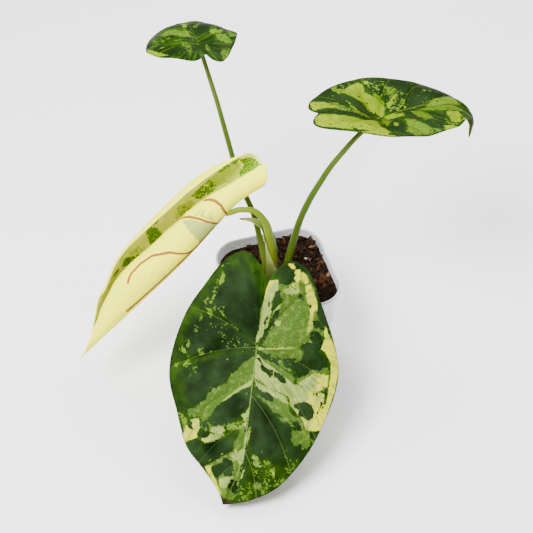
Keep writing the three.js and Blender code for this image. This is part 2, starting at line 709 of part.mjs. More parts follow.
// The stalks' feet with the sheath, grown by the clearance, to cut their sockets with
function cutFeet( solid ) {

	for ( const [ name, { route, radius } ] of Object.entries( STALKS ) ) {

		const sheath = name === 'new' ? SHEATH.gap + SHEATH.wall + SHEATH.socket : 0;
		solid = solid.subtract( toSolid( tube( route, radius, CLEARANCE + sheath ) ) );

	}

	return solid;

}

function soilGeometry() {

	const random = seeded( 11 );
	const between = ( [ low, high ] ) => low + ( high - low ) * random();
	const chips = Array.from( { length: CHIPS.count }, () => ( {
		x: ( random() - 0.5 ) * 2 * POT_RIM_HALF,
		y: ( random() - 0.5 ) * 2 * POT_RIM_HALF,
		radius: between( CHIPS.radius ),
		height: between( CHIPS.height ),
	} ) );
	const height = ( p ) => {

		const lumps = chips.map( ( chip ) => {

			const reach = Math.hypot( p.x - chip.x, p.y - chip.y ) / chip.radius;
			return reach < 1 ? chip.height * ( 1 - reach * reach ) : 0;

		} );
		const heap = SOIL_SLOPE.rise
			* ( p.x * Math.cos( SOIL_SLOPE.towards ) + p.y * Math.sin( SOIL_SLOPE.towards ) );
		return SOIL_TOP + heap + Math.max( 0, ...lumps ) - 0.6 * Math.hypot( p.x, p.y ) / POT_RIM_HALF;

	};

	const at = ( z ) => {

		const half = innerHalf( z ) - CLEARANCE;
		return ring( half, cornerAt( half ), z );

	};

	const edge = at( SOIL_TOP - 2 );
	const floor = POT_FLOOR + CLEARANCE;
	const foot = innerHalf( POT_FLOOR ) - LIP - CLEARANCE;
	const sections = [
		ring( foot, cornerAt( foot ), floor ),
		at( POT_FLOOR + 2 * LIP ),
		at( bandFoot - BAND_STEP ),
		at( bandFoot + 2 * BAND_STEP ),
	];
	for ( let i = SOIL_RINGS; i >= 0; i -- ) {

		const share = i / SOIL_RINGS;
		sections.push( edge.map( ( p ) => {

			const point = new THREE.Vector3( p.x * share, p.y * share, 0 );
			point.z = height( point );
			return point;

		} ) );

	}

	const turned = toSolid( new LoftGeometry( sections, { capStart: true } ) )
		.rotate( [ 0, 0, - THREE.MathUtils.radToDeg( PLANT_TURN ) ] );
	return toGeometry( cutFeet( turned.subtract( crownSolid( CLEARANCE ) ) ) );

}

// The model

function mesh( name, geometry, color, roughness ) {

	const finish = new THREE.MeshStandardMaterial( { color, roughness, metalness: 0 } );
	const piece = new THREE.Mesh( geometry, finish );
	piece.name = name;
	return piece;

}

const alocasia = new THREE.Group();
alocasia.add( mesh( 'pot', potGeometry(), 0xd9dce2, 0.35 ) );

const plant = new THREE.Group();
plant.rotation.z = PLANT_TURN;
plant.add( mesh( 'soil', soilGeometry(), 0x3b2317, 0.95 ) );
plant.add( mesh( 'crown_and_roots', toGeometry( cutFeet( crownSolid() ) ), 0x6b3320, 0.8 ) );
plant.add( mesh( 'sheath_new', sheathGeometry(), 0xa6a35a, 0.6 ) );
const stalkColors = { front: 0x5d8a2a, right: 0x5d8a2a, back: 0x5d8a2a, new: 0xa8b845 };
const bladeColors = { front: 0x2f5d2b, right: 0x3c6b2a, back: 0x35622b, new: 0xe9e6a0 };
for ( const [ name, leaf ] of Object.entries( LEAVES ) ) {

	plant.add( mesh( `petiole_${ name }`, stalkGeometry( name ), stalkColors[ name ], 0.45 ) );
	const group = leafGroup( leaf );
	group.add( mesh( `leaf_${ name }`, new Blade( leaf ).geometry(), bladeColors[ name ], 0.4 ) );
	plant.add( group );

}

alocasia.add( plant );

export default alocasia;
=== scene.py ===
"""A potted variegated dragon scale alocasia: the finished look of its leaves, stalks, pot and soil.

Lengths in the classes are millimetres in the plant's own frame (x to the right, y away, z up, with the
origin under the middle of the pot). The plant stands turned in its pot, and placed() brings its points
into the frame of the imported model, in metres.
"""

from __future__ import annotations

import logging
import math
from dataclasses import dataclass, field
from enum import Enum

import bmesh
import bpy
import numpy as np
from mathutils import Matrix, Vector

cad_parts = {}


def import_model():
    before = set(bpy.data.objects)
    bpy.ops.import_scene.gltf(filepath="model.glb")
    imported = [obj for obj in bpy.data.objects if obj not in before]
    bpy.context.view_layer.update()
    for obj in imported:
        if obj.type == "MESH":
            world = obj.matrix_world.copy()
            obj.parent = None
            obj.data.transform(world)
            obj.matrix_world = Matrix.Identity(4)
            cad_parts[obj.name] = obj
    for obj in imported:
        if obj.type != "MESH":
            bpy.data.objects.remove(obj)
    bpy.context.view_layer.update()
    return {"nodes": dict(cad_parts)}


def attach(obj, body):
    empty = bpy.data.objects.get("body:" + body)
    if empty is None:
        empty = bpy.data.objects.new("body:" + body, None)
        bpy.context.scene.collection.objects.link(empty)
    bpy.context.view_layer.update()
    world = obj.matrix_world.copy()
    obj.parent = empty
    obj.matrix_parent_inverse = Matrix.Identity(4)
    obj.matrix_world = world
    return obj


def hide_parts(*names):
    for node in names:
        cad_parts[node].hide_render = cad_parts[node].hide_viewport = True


LOG = logging.getLogger("alocasia")

MM = 0.001
FULL_TURN = 2 * math.pi
QUARTER_TURN = math.pi / 2
PLANT_TURN = math.radians(-17.0)
SAME_PLACE = 1e-6  # metres between vertices that are merged
FLAT_UNIT = 100.0  # millimetres of a flat blade in one unit of its UV map
CURVE_FINENESS = 24  # short steps between two points of a curve, before it is walked in even steps

Point = tuple[float, float]
Point3 = tuple[float, float, float]
Colour = tuple[float, float, float]
Array = np.ndarray
Mesh = bmesh.types.BMesh
Piece = bpy.types.Object
Material = bpy.types.Material
Socket = bpy.types.NodeSocket


def placed(points: Array) -> Array:
    """Turns points of the plant's frame into the model's frame.

    Args:
        points: Millimetres, with x, y and z on the last axis.

    Returns:
        The same points in metres, in the model's frame.
    """
    cos, sin = math.cos(PLANT_TURN), math.sin(PLANT_TURN)
    x, y, z = points[..., 0], points[..., 1], points[..., 2]
    return np.stack([x * cos - y * sin, x * sin + y * cos, z], -1) * MM


def smooth_step(low: float, high: float, value: Array) -> Array:
    """Rises smoothly from 0 at low to 1 at high.

    Args:
        low: The place where the rise starts.
        high: The place where it ends.
        value: Where to read it.

    Returns:
        Numbers from 0 to 1, in value's shape.
    """
    t = np.clip((value - low) / (high - low), 0.0, 1.0)
    return t * t * (3.0 - 2.0 * t)


def along(stations: list[Point], place: Array) -> Array:
    """Reads a smooth curve through stations, level beyond its ends.

    Args:
        stations: Pairs of place and value, in rising order of place.
        place: Where to read the curve.

    Returns:
        The values, in place's shape.
    """
    table = np.array(stations, float)
    if len(table) == 1:
        return np.full(np.shape(place), table[0, 1])
    xs, ys = table[:, 0], table[:, 1]
    last = len(xs) - 1
    low = np.maximum(np.arange(last + 1) - 1, 0)
    high = np.minimum(np.arange(last + 1) + 1, last)
    slope = (ys[high] - ys[low]) / (xs[high] - xs[low])
    q = np.clip(place, xs[0], xs[-1])
    i = np.clip(np.searchsorted(xs, q, side="left") - 1, 0, last - 1)
    width = xs[i + 1] - xs[i]
    t = (q - xs[i]) / width
    return (
        ys[i] * (1 + 2 * t) * (1 - t) ** 2
        + slope[i] * width * t * (1 - t) ** 2
        + ys[i + 1] * t * t * (3 - 2 * t)
        - slope[i + 1] * width * t * t * (1 - t)
    )


def even_curve(points: list[tuple[float, ...]], steps: int) -> Array:
    """Runs a smooth curve through points and walks it in even steps.

    Args:
        points: The points that the curve passes through.
        steps: The number of steps along it.

    Returns:
        steps + 1 points, evenly far apart.
    """
    p = np.array(points, float)
    last = len(p) - 1
    t = np.linspace(0, last, CURVE_FINENESS * last + 1)
    i = np.minimum(t.astype(int), last - 1)
    w = (t - i)[:, None]
    a, b, c, d = p[np.maximum(i - 1, 0)], p[i], p[i + 1], p[np.minimum(i + 2, last)]
    v0, v1 = (c - a) / 2, (d - b) / 2
    curve = (2 * b - 2 * c + v0 + v1) * w**3 + (3 * (c - b) - 2 * v0 - v1) * w**2 + v0 * w + b
    run = np.r_[0, np.cumsum(np.linalg.norm(np.diff(curve, axis=0), axis=1))]
    want = np.linspace(0, run[-1], steps + 1)
    return np.stack([np.interp(want, run, curve[:, k]) for k in range(p.shape[1])], -1)


# Materials


class Shader:
    """A material's node tree, with short calls for the nodes that the finishes use."""

    def __init__(self, name: str) -> None:
        """Starts a material with a principled shader.

        Args:
            name: The material's name.
        """
        self.material = bpy.data.materials.new(name)
        self.material.use_nodes = True
        self.nodes = self.material.node_tree.nodes
        self.links = self.material.node_tree.links
        self.principled = self.nodes["Principled BSDF"]

    def add(self, kind: str, values: dict | None = None, **settings: object) -> bpy.types.Node:
        """Adds a node.

        Args:
            kind: The node's type, without the ShaderNode prefix.
            values: Numbers, colours or sockets for its inputs, by name or place.
            settings: The node's own properties.

        Returns:
            The new node.
        """
        node = self.nodes.new("ShaderNode" + kind)
        for key, value in settings.items():
            setattr(node, key, value)
        for key, value in (values or {}).items():
            self.feed(node.inputs[key], value)
        return node

    def feed(self, socket: Socket, value: object) -> None:
        """Links a socket into an input, or sets the input's own value.

        Args:
            socket: The input.
            value: A socket, number, colour or place.
        """
        if isinstance(value, Socket):
            self.links.new(value, socket)
        elif isinstance(value, tuple) and len(value) == 3 and socket.type == "RGBA":
            socket.default_value = (*value, 1.0)
        else:
            socket.default_value = value

    def set(self, **values: object) -> None:
        """Sets or links inputs of the principled shader, with _ for a space in their names."""
        for key, value in values.items():
            self.feed(self.principled.inputs[key.replace("_", " ")], value)

    def math(self, operation: str, a: object, b: object = 0.0) -> Socket:
        """Does one step of arithmetic on two numbers or sockets."""
        return self.add("Math", {0: a, 1: b}, operation=operation).outputs[0]

    def product(self, a: object, b: object) -> Socket:
        """Multiplies two numbers or sockets."""
        return self.math("MULTIPLY", a, b)

    def span(self, value: object, low: float, high: float, first: float = 0.0, last: float = 1.0) -> Socket:
        """Maps low..high on to first..last smoothly, level beyond."""
        ends = {"Value": value, "From Min": low, "From Max": high, "To Min": first, "To Max": last}
        return self.add("MapRange", ends, interpolation_type="SMOOTHSTEP").outputs["Result"]

    def mix(self, share: object, a: object, b: object) -> Socket:
        """Mixes two colours, which a Mix node takes at its inputs 6 and 7 and gives at its output 2."""
        return self.add("Mix", {0: share, 6: a, 7: b}, data_type="RGBA").outputs[2]

    def noise(self, where: object, scale: float, detail: float = 2.0, rough: float = 0.5, warp: float = 0.0) -> Socket:
        """Reads cloud noise at a place."""
        values = {"Vector": where, "Scale": scale, "Detail": detail, "Roughness": rough, "Distortion": warp}
        return self.add("TexNoise", values).outputs[0]

    def noise_colour(self, where: object, scale: float) -> Socket:
        """Reads coloured cloud noise, for bending a place."""
        return self.add("TexNoise", {"Vector": where, "Scale": scale, "Detail": 1.0}).outputs[1]

    def cell(self, where: object, scale: float) -> Socket:
        """Reads a random number for each cell of a mosaic."""
        node = self.add("TexVoronoi", {"Vector": where, "Scale": scale}, voronoi_dimensions="2D")
        return self.add("SeparateColor", {0: node.outputs["Color"]}).outputs[0]

    def mapped(self, where: object, scale: Point3 = (1.0, 1.0, 1.0), move: Point3 = (0.0, 0.0, 0.0)) -> Socket:
        """Scales and moves a place."""
        return self.add("Mapping", {"Vector": where, "Scale": scale, "Location": move}).outputs[0]

    def uv(self, name: str) -> Socket:
        """Reads one of the piece's UV maps."""
        return self.add("UVMap", uv_map=name).outputs[0]

    def place(self) -> Socket:
        """Reads the Object coordinates."""
        return self.add("TexCoord").outputs["Object"]

    def parts(self, name: str) -> list[Socket]:
        """Reads a colour attribute's red, green, blue and alpha."""
        read = self.add("Attribute", attribute_name=name).outputs
        return [*self.add("SeparateColor", {0: read["Color"]}).outputs, read["Alpha"]]

    def number(self, name: str) -> Socket:
        """Reads a number attribute."""
        return self.add("Attribute", attribute_name=name).outputs["Fac"]

    def bump(self, height: object, distance: float, strength: float = 1.0, under: Socket | None = None) -> Socket:
        """Raises the surface by a height times a distance in millimetres.

        Args:
            height: A socket or number from 0 to 1.
            distance: Millimetres that a height of 1 stands for.
            strength: How much of the relief shows.
            under: A normal that this relief is added to.

        Returns:
            The normal.
        """
        values = {"Height": height, "Distance": distance * MM, "Strength": strength}
        if under is not None:
            values["Normal"] = under
        return self.add("Bump", values).outputs[0]


# Meshes


def grid_mesh(rows: int, columns: int) -> tuple[Mesh, Array]:
    """Makes a flat grid to be moved into shape.

    Args:
        rows: Steps along the piece.
        columns: Steps across it.

    Returns:
        The mesh, and each vertex's row and column as whole numbers.
    """
    mesh = bmesh.new()
    bmesh.ops.create_grid(mesh, x_segments=rows, y_segments=columns, size=1.0)
    mesh.verts.index_update()
    mesh.verts.ensure_lookup_table()
    co = np.array([v.co[:2] for v in mesh.verts])
    at = np.rint((co + 1) / 2 * (rows, columns)).astype(int)
    return mesh, at


def move_to(mesh: Mesh, points: Array) -> None:
    """Moves every vertex of a mesh to its point, in metres."""
    for vertex, point in zip(mesh.verts, points):
        vertex.co = point


def add_uv(mesh: Mesh, name: str, values: Array) -> None:
    """Gives a mesh a UV map.

    Args:
        mesh: The mesh, with its vertices still in their first order.
        name: The map's name.
        values: One pair of numbers for each vertex.
    """
    layer = mesh.loops.layers.uv.new(name)
    for face in mesh.faces:
        for loop in face.loops:
            loop[layer].uv = values[loop.vert.index]


def finished(name: str, mesh: Mesh, materials: list[Material], nodes: tuple[str, ...] = ()) -> Piece:
    """Turns a mesh into a piece of the object.

    Args:
        name: The piece's name.
        mesh: Its mesh, in metres in the model's frame.
        materials: Its materials, in the order of the faces' numbers.
        nodes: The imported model's nodes that it stands for.

    Returns:
        The new object, riding on the model's one body.
    """
    data = bpy.data.meshes.new(name)
    mesh.to_mesh(data)
    mesh.free()
    data.polygons.foreach_set("use_smooth", [True] * len(data.polygons))
    for material in materials:
        data.materials.append(material)
    piece = bpy.data.objects.new(name, data)
    bpy.context.scene.collection.objects.link(piece)
    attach(piece, "root")
    if nodes:
        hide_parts(*nodes)
    LOG.info("%s: %d faces", name, len(data.polygons))
    return piece


def thicken(piece: Piece, thickness: float, offset: float = 0.0, under: int = 0) -> None:
    """Gives a sheet its thickness.

    Args:
        piece: The sheet.
        thickness: Millimetres.
        offset: Which way it grows, from -1 to 1.
        under: How many materials further the new face's material is.
    """
    modifier = piece.modifiers.new("thickness", "SOLIDIFY")
    modifier.thickness = thickness * MM
    modifier.offset = offset
    modifier.use_even_offset = False  # an even wall would grow spikes where the margin turns sharply
    modifier.material_offset = under
    modifier.material_offset_rim = 0


# Blades


class Side(Enum):
    """The two halves of a blade, seen from above with its tip pointing away from the joint."""

    RIGHT = 1
    LEFT = -1


@dataclass
class Half:
    """One half of a blade: its margin from the notch round the lobe to the tip, and its veins.

    start is the share of the margin that the lobe behind the joint takes, and veins are shares of the
    whole half, from its first strip to its last.
    """

    MARGIN_STEPS = 400

    margin: list[Point]
    start: float
    spread: float
    veins: list[float]
    curve: Array = field(init=False)

    def __post_init__(self) -> None:
        """Walks the margin in even steps."""
        self.curve = even_curve(self.margin, self.MARGIN_STEPS)

    def edge(self, share: Array) -> Array:
        """Finds points of the margin, as shares of its length."""
        steps = np.linspace(0, 1, len(self.curve))
        return np.stack([np.interp(share, steps, self.curve[:, k]) for k in (0, 1)], -1)


@dataclass
class Blade:
    """A blade's form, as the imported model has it.

    A place on it is a side, a share of that side's margin and a share of the way out from the midrib
    to the margin. Strips with a share under SINUS start at the joint. heading, slope and roll are degrees,
    droop is radians of bend along the midrib, the curls across it are one over a radius, and funnel is
    the depth and reach of the hollow at the joint.
    """

    SINUS = 0.5
    PACE = 1.9
    LEAN_FROM = 0.6  # share of the midrib from which it leans towards the tip
    VEIN_ARCH = 0.12
    ARCH_FROM = 0.15  # share of the margin from which veins are fully arched
    SPINE_STEP = 0.01
    STEPS_BACK = 80
    STEPS_AHEAD = 130
    CREST_FROM = 0.45  # share of the way out at which a swelling is full
    FALL_FROM = 0.55  # share of the way out from which it falls towards the margin
    FALL = 0.75
    FULLNESS = 0.8
    VEIN_POINTS = 33
    STRAIGHT = 1e-6  # radians of curl that count as none

    joint: Point3
    heading: float
    slope: float
    roll: float
    size: float
    right: Half
    left: Half
    bulge: float
    droop: list[Point]
    curl_right: list[Point]
    curl_left: list[Point]
    funnel: Point
    tip: Point = field(init=False)
    spine: Array = field(init=False)

    def __post_init__(self) -> None:
        """Works out the bent midrib."""
        self.tip = self.right.margin[-1]
        back = self.walk(-1, self.STEPS_BACK)
        ahead = self.walk(1, self.STEPS_AHEAD)
        self.spine = np.concatenate([back[::-1], np.zeros((1, 3)), ahead])

    def walk(self, sign: int, count: int) -> Array:
        """Follows the midrib from the joint.

        Args:
            sign: 1 for towards the tip, or -1 for into the notch.
            count: The number of steps.

        Returns:
            Rows of place, x and z.
        """
        step = self.SPINE_STEP
        number = np.arange(1, count + 1)
        angle = along(self.droop, sign * (number - 0.5) * step)
        x = np.cumsum(sign * np.cos(angle)) * step * self.size
        z = np.cumsum(-sign * np.sin(angle)) * step * self.size
        return np.stack([sign * number * step, x, z], -1)

    def half(self, side: Side) -> Half:
        """Gives the half on a side."""
        return self.right if side is Side.RIGHT else self.left

    def flat(self, side: Side, share: Array, out: Array) -> Array:
        """Finds places on the blade laid flat.

        Args:
            side: The half.
            share: Shares of its margin.
            out: Shares of the way from the midrib to the margin.

        Returns:
            Pairs of along and across, in shares of the blade's size.
        """
        half = self.half(side)
        y = np.maximum(0, (share - self.SINUS) / (1 - self.SINUS))
        inner = half.start * share / self.SINUS
        outer = half.start + (1 - half.start) * y ** (self.PACE / half.spread)
        length = np.where(share < self.SINUS, inner, outer)
        k = y**self.PACE
        lean = np.maximum(0, (k - self.LEAN_FROM) / (1 - self.LEAN_FROM)) ** 2
        start_u, start_v = k * self.tip[0], lean * self.tip[1]
        edge = half.edge(np.minimum(length, 1))
        bow = self.VEIN_ARCH * np.minimum(length / self.ARCH_FROM, 1)
        dx, dy = edge[..., 0] - start_u, edge[..., 1] - start_v
        mid_u = start_u + dx / 2 - np.abs(dy) * bow
        mid_v = start_v + dy / 2 + np.sign(dy) * dx * bow
        a, b, c = (1 - out) ** 2, 2 * (1 - out) * out, out**2
        u = a * start_u + b * mid_u + c * edge[..., 0]
        v = a * start_v + b * mid_v + c * edge[..., 1]
        return np.stack([u, v], -1)

    def swell(self, side: Side, share: Array, out: Array) -> Array:
        """Finds how far the blade swells between two veins.

        Args:
            side: The half.
            share: Shares of its margin.
            out: Shares of the way from the midrib to the margin.

        Returns:
            Millimetres.
        """
        veins = np.array(self.half(side).veins)
        i = np.clip(np.searchsorted(veins, share, side="left") - 1, 0, len(veins) - 2)
        x = np.clip((share - veins[i]) / (veins[i + 1] - veins[i]), 0, 1)
        rise = smooth_step(0, self.CREST_FROM, out)
        fall = 1 - self.FALL * np.maximum(0, (out - self.FALL_FROM) / (1 - self.FALL_FROM)) ** 2
        return self.bulge * np.sin(np.pi * x) ** self.FULLNESS * rise * fall

    def bend(self, place: Array, height: Array) -> Array:
        """Bends flat places into the blade's form.

        Args:
            place: Pairs of along and across, in shares of the size.
            height: Millimetres above the middle surface.

        Returns:
            Points in the plant's frame, in millimetres.
        """
        u, v = place[..., 0], place[..., 1]
        curl = np.where(v > 0, along(self.curl_right, u), along(self.curl_left, u))
        across = np.abs(v) * self.size
        turn = curl * across
        bent = np.abs(turn) > self.STRAIGHT
        safe = np.where(bent, curl, 1.0)
        x = np.where(bent, np.sin(turn) / safe, across)
        up = np.where(bent, (1 - np.cos(turn)) / safe, 0.0)
        sideways = np.sign(v) * (x - height * np.sin(turn))
        reach = (u * u + v * v) * self.size**2
        lift = up + height * np.cos(turn) + self.funnel[0] * (1 - np.exp(-reach / self.funnel[1] ** 2))
        angle = along(self.droop, u)
        ahead = np.interp(u, self.spine[:, 0], self.spine[:, 1]) + lift * np.sin(angle)
        above = np.interp(u, self.spine[:, 0], self.spine[:, 2]) + lift * np.cos(angle)
        turned = (
            Matrix.Rotation(math.radians(self.heading), 3, "Z")
            @ Matrix.Rotation(math.radians(self.slope), 3, "Y")
            @ Matrix.Rotation(math.radians(-self.roll), 3, "X")
        )
        return np.stack([ahead, sideways, above], -1) @ np.array(turned).T + np.array(self.joint)

    def vein_lines(self, side: Side) -> list[Array]:
        """Draws a half's side veins on the flat blade, in millimetres."""
        out = np.linspace(0, 1, self.VEIN_POINTS)
        return [self.flat(side, np.full_like(out, vein), out) * self.size for vein in self.half(side).veins[1:-1]]


def distance_to(places: Array, line: Array) -> Array:
    """Measures how far places are from a line of points.

    Args:
        places: Pairs of numbers.
        line: The line's points.

    Returns:
        One distance for each place.
    """
    best = np.full(len(places), 1e9)
    for a, b in zip(line[:-1], line[1:]):
        step = b - a
        t = np.clip((places - a) @ step / max(step @ step, 1e-9), 0, 1)
        best = np.minimum(best, np.linalg.norm(places - a - t[:, None] * step, axis=1))
    return best


def inside(places: Array, outline: Array) -> Array:
    """Tells which places lie inside a closed outline.

    Args:
        places: Pairs of numbers.
        outline: The outline's points.

    Returns:
        A yes or no for each place.
    """
    x, y = places[:, 0], places[:, 1]
    found = np.zeros(len(places), bool)
    for (x0, y0), (x1, y1) in zip(outline, np.roll(outline, -1, axis=0)):
        if y0 == y1:
            continue
        crosses = (y0 > y) != (y1 > y)
        found ^= crosses & (x < (x1 - x0) * (y - y0) / (y1 - y0) + x0)
    return found


class Mark(Enum):
    """What a patch of a blade is coloured with, as the place of its number in the marks attribute."""

    SAGE = 0
    CREAM = 1
    DARK = 2
    DEEP = 3


SAGE, CREAM, DARK, DEEP = Mark


@dataclass
class Patch:
    """A marking on a blade: a closed outline on the flat blade, in millimetres, along and across.

    A strength of 1 fills it, and about 0.4 leaves only flecks. soft is half the width of its ragged edge.
    """

    mark: Mark
    outline: list[Point]
    strength: float = 1.0
    soft: float = 1.0

    def weight(self, places: Array) -> Array:
        """Finds how strongly the patch covers places of the flat blade.

        Args:
            places: Pairs of along and across, in millimetres.

        Returns:
            Numbers from 0 to the patch's strength.
        """
        outline = np.array(self.outline, float)
        away = distance_to(places, np.concatenate([outline, outline[:1]]))
        signed = np.where(inside(places, outline), away, -away)
        return self.strength * smooth_step(-self.soft, self.soft, signed)


@dataclass(frozen=True)
class BladeFinish:
    """The colours and surface of a blade's upper face and underside.

    The upper face's patterns are clouds on the flat blade, and hatching on its strips, which run from the
    midrib to the margin. flecks shifts how much of each kind of mark shows, and ragged how torn its edge is.
    """

    # the patterns' scales, and BENDING, how far a mosaic's places are bent
    FINE = 90.0
    SOFT = 14.0
    BLOTCH = 26.0
    SHEEN = 5.0
    HATCH = (80.0, 5.0, 1.0)
    STREAKS = (60.0, 7.0, 1.0)
    FOLD_LENGTH = 1.6
    BENDING = 0.012
    BENDS = 60.0
    UNDER = 60.0

    name: str
    green: Colour
    sage: Colour
    cream: Colour
    dark: Colour = (0.002, 0.009, 0.0007)
    deep: Colour = (0.002, 0.009, 0.0007)
    under: Colour = (0.034, 0.067, 0.013)
    under_pale: Colour = (0.17, 0.22, 0.034)
    vein: Colour = (0.04, 0.047, 0.007)
    yellow: Colour = (0.43, 0.44, 0.006)
    rough: float = 0.46
    shine: float = 0.12
    shine_tint: Colour = (0.55, 0.85, 0.4)
    dry: Colour = (0.02, 0.008, 0.004)
    mottle: float = 0.12
    # fold_shade: how dark the painted shade of small folds is, in streaks along the strips; fold_rate sets how many
    # streaks cross the blade
    fold_shade: float = 0.35
    fold_rate: float = 20.0
    white: Colour = (0.42, 0.45, 0.14)
    fleck: Colour = (0.07, 0.13, 0.01)
    fleck_full: float = 0.72
    rib: float = 0.6
    line: float = 0.2
    patch_through: float = 0.5
    flecks: tuple[float, float, float] = (0.0, 0.0, 0.0)
    ragged: float = 2.4
    grain: float = 36.0
    cells: float = 95.0
    # painted_sheen and painted_sheen_colour: how strongly, and in which colour, a painted highlight lightens the
    # darkest green, standing in for the light's sheen
    painted_sheen: float = 0.0
    painted_sheen_colour: Colour = (0.014, 0.03, 0.01)

    def marks(self, shader: Shader) -> list[Socket]:
        """Turns the smooth patches into ragged ones.

        Args:
            shader: The material to build in.

        Returns:
            How far each kind of mark shows, in the order of Mark.
        """
        flat = shader.uv("flat")
        strips = shader.uv("strip")
        found = []
        for number, part in enumerate(shader.parts("marks")[:3]):
            moved_flat = shader.mapped(flat, move=(3.1 * number, 1.7, 0.0))
            cloud = shader.noise(moved_flat, self.grain, 4.0, 0.66, 0.5)
            streak = shader.noise(shader.mapped(strips, self.STREAKS, (number, 5.0, 0.0)), 1.0, 3.0, 0.6)
            bent = shader.mix(self.BENDING, moved_flat, shader.noise_colour(moved_flat, self.BENDS))
            cell = shader.cell(bent, self.cells)
            wander = shader.math("ADD", shader.product(cloud, 0.5), shader.product(streak, 0.3))
            wander = shader.math("ADD", wander, shader.product(cell, 0.2))
            lifted = shader.product(shader.math("SUBTRACT", wander, 0.5), self.ragged)
            lifted = shader.math("ADD", lifted, self.flecks[number])
            found.append(shader.span(shader.math("ADD", lifted, part), 0.46, 0.54))
        found.append(shader.parts("marks")[3])
        return found

    def ground(self, shader: Shader, soft: object, painted_sheen: object, deep: object) -> Socket:
        """Colours the plain green of the upper face.

        Args:
            shader: The material to build in.
            soft: Soft clouds.
            painted_sheen: Where a pale sheen is painted on the darkest green, as a painted highlight.
            deep: Where the green is darkest.

        Returns:
            The colour.
        """
        # painted shade: streaks along the strips darkened towards the deep green, as the shade of small folds
        fold_shade = shader.mapped(shader.uv("strip"), (self.fold_rate, self.FOLD_LENGTH, 1.0))
        fold_shade_mask = shader.noise(fold_shade, 1.0, 2.0, 0.5)
        green = shader.mix(shader.span(soft, 0.3, 0.75, 0.0, 0.7), self.green, self.deep)
        green = shader.mix(shader.span(fold_shade_mask, 0.4, 0.6, 0.0, self.fold_shade), green, self.deep)
        # the darkest green, lightened by the painted sheen
        shade = shader.mix(painted_sheen, self.deep, self.painted_sheen_colour)
        return shader.mix(shader.product(deep, shader.span(soft, 0.2, 0.7, 1.0, 0.85)), green, shade)

    def patch_tones(self, shader: Shader, fine: object, soft: object, hatch: object) -> list[Socket]:
        """Colours the dull green and the pale patches of the upper face.

        Args:
            shader: The material to build in.
            fine: Fine clouds.
            soft: Soft clouds.
            hatch: Hatching on the strips.

        Returns:
            The dull green, and the pale colour.
        """
        blotch = shader.noise(shader.mapped(shader.uv("flat"), move=(4.0, 2.0, 0.0)), self.BLOTCH, 4.0, 0.62)
        dull = shader.mix(shader.span(hatch, 0.42, 0.62, 0.0, 0.4), self.sage, self.green)
        dull = shader.mix(shader.span(blotch, 0.5, 0.66, 0.0, 0.35), dull, self.cream)
        dull = shader.mix(shader.span(fine, 0.5, 0.75, 0.0, 0.3), dull, self.cream)
        rim = shader.math("ABSOLUTE", shader.add("SeparateXYZ", {0: shader.uv("strip")}).outputs[1])
        yellow = shader.math("ADD", rim, shader.span(soft, 0.3, 0.7, -0.12, 0.12))
        pale = shader.mix(shader.span(yellow, 0.68, 0.9), self.cream, self.yellow)
        pale = shader.mix(shader.span(blotch, 0.52, 0.68, 0.0, 0.5), pale, self.white)
        pale = shader.mix(shader.span(hatch, 0.48, 0.64, 0.0, 0.5), pale, self.sage)
        full = shader.span(shader.parts("marks")[Mark.CREAM.value], self.fleck_full - 0.2, self.fleck_full)
        return [dull, shader.mix(full, self.fleck, pale)]

    def upper(self) -> Material:
        """Builds the material of the upper face.

        Returns:
            The material.
        """
        shader = Shader(self.name + "_upper")
        sage, cream, dark, deep = self.marks(shader)
        flat = shader.uv("flat")
        fine = shader.noise(flat, self.FINE, 3.0, 0.6)
        soft = shader.noise(flat, self.SOFT, 3.0)
        hatch = shader.noise(shader.mapped(shader.uv("strip"), self.HATCH), 1.0, 4.0, 0.65)
        # painted highlight: soft pale patches of sheen painted on the darkest green, varied by the hatching
        painted_sheen = shader.span(shader.noise(flat, self.SHEEN, 2.0, 0.55), 0.36, 0.72, 0.0, self.painted_sheen)
        painted_sheen = shader.product(painted_sheen, shader.span(hatch, 0.3, 0.6, 0.65, 1.0))
        dull, pale = self.patch_tones(shader, fine, soft, hatch)
        colour = shader.mix(sage, self.ground(shader, soft, painted_sheen, deep), dull)
        colour = shader.mix(cream, colour, pale)
        # the dark marks get the painted sheen too
        night = shader.mix(painted_sheen, self.dark, self.painted_sheen_colour)
        night = shader.mix(shader.span(fine, 0.45, 0.58, 0.0, self.mottle), night, self.sage)
        colour = shader.mix(dark, colour, night)
        line = shader.span(shader.number("vein"), 0.05, 0.5, 0.6, 0.0)
        colour = shader.mix(line, colour, shader.mix(0.5, self.cream, colour))
        midrib = shader.span(shader.number("midrib"), 0.15, 0.6, self.rib, 0.0)
        colour = shader.mix(shader.product(midrib, shader.span(fine, 0.35, 0.55, 0.15, 1.0)), colour, self.cream)
        colour = shader.mix(shader.number("dry"), colour, self.dry)
        shader.set(Base_Color=colour, Roughness=shader.span(fine, 0.2, 0.8, self.rough, self.rough + 0.12))
        shader.set(Specular_IOR_Level=self.shine, Specular_Tint=self.shine_tint)
        relief = shader.bump(hatch, 0.12, 0.5)
        shader.set(Normal=shader.bump(fine, 0.08, 0.4, relief))
        return shader.material

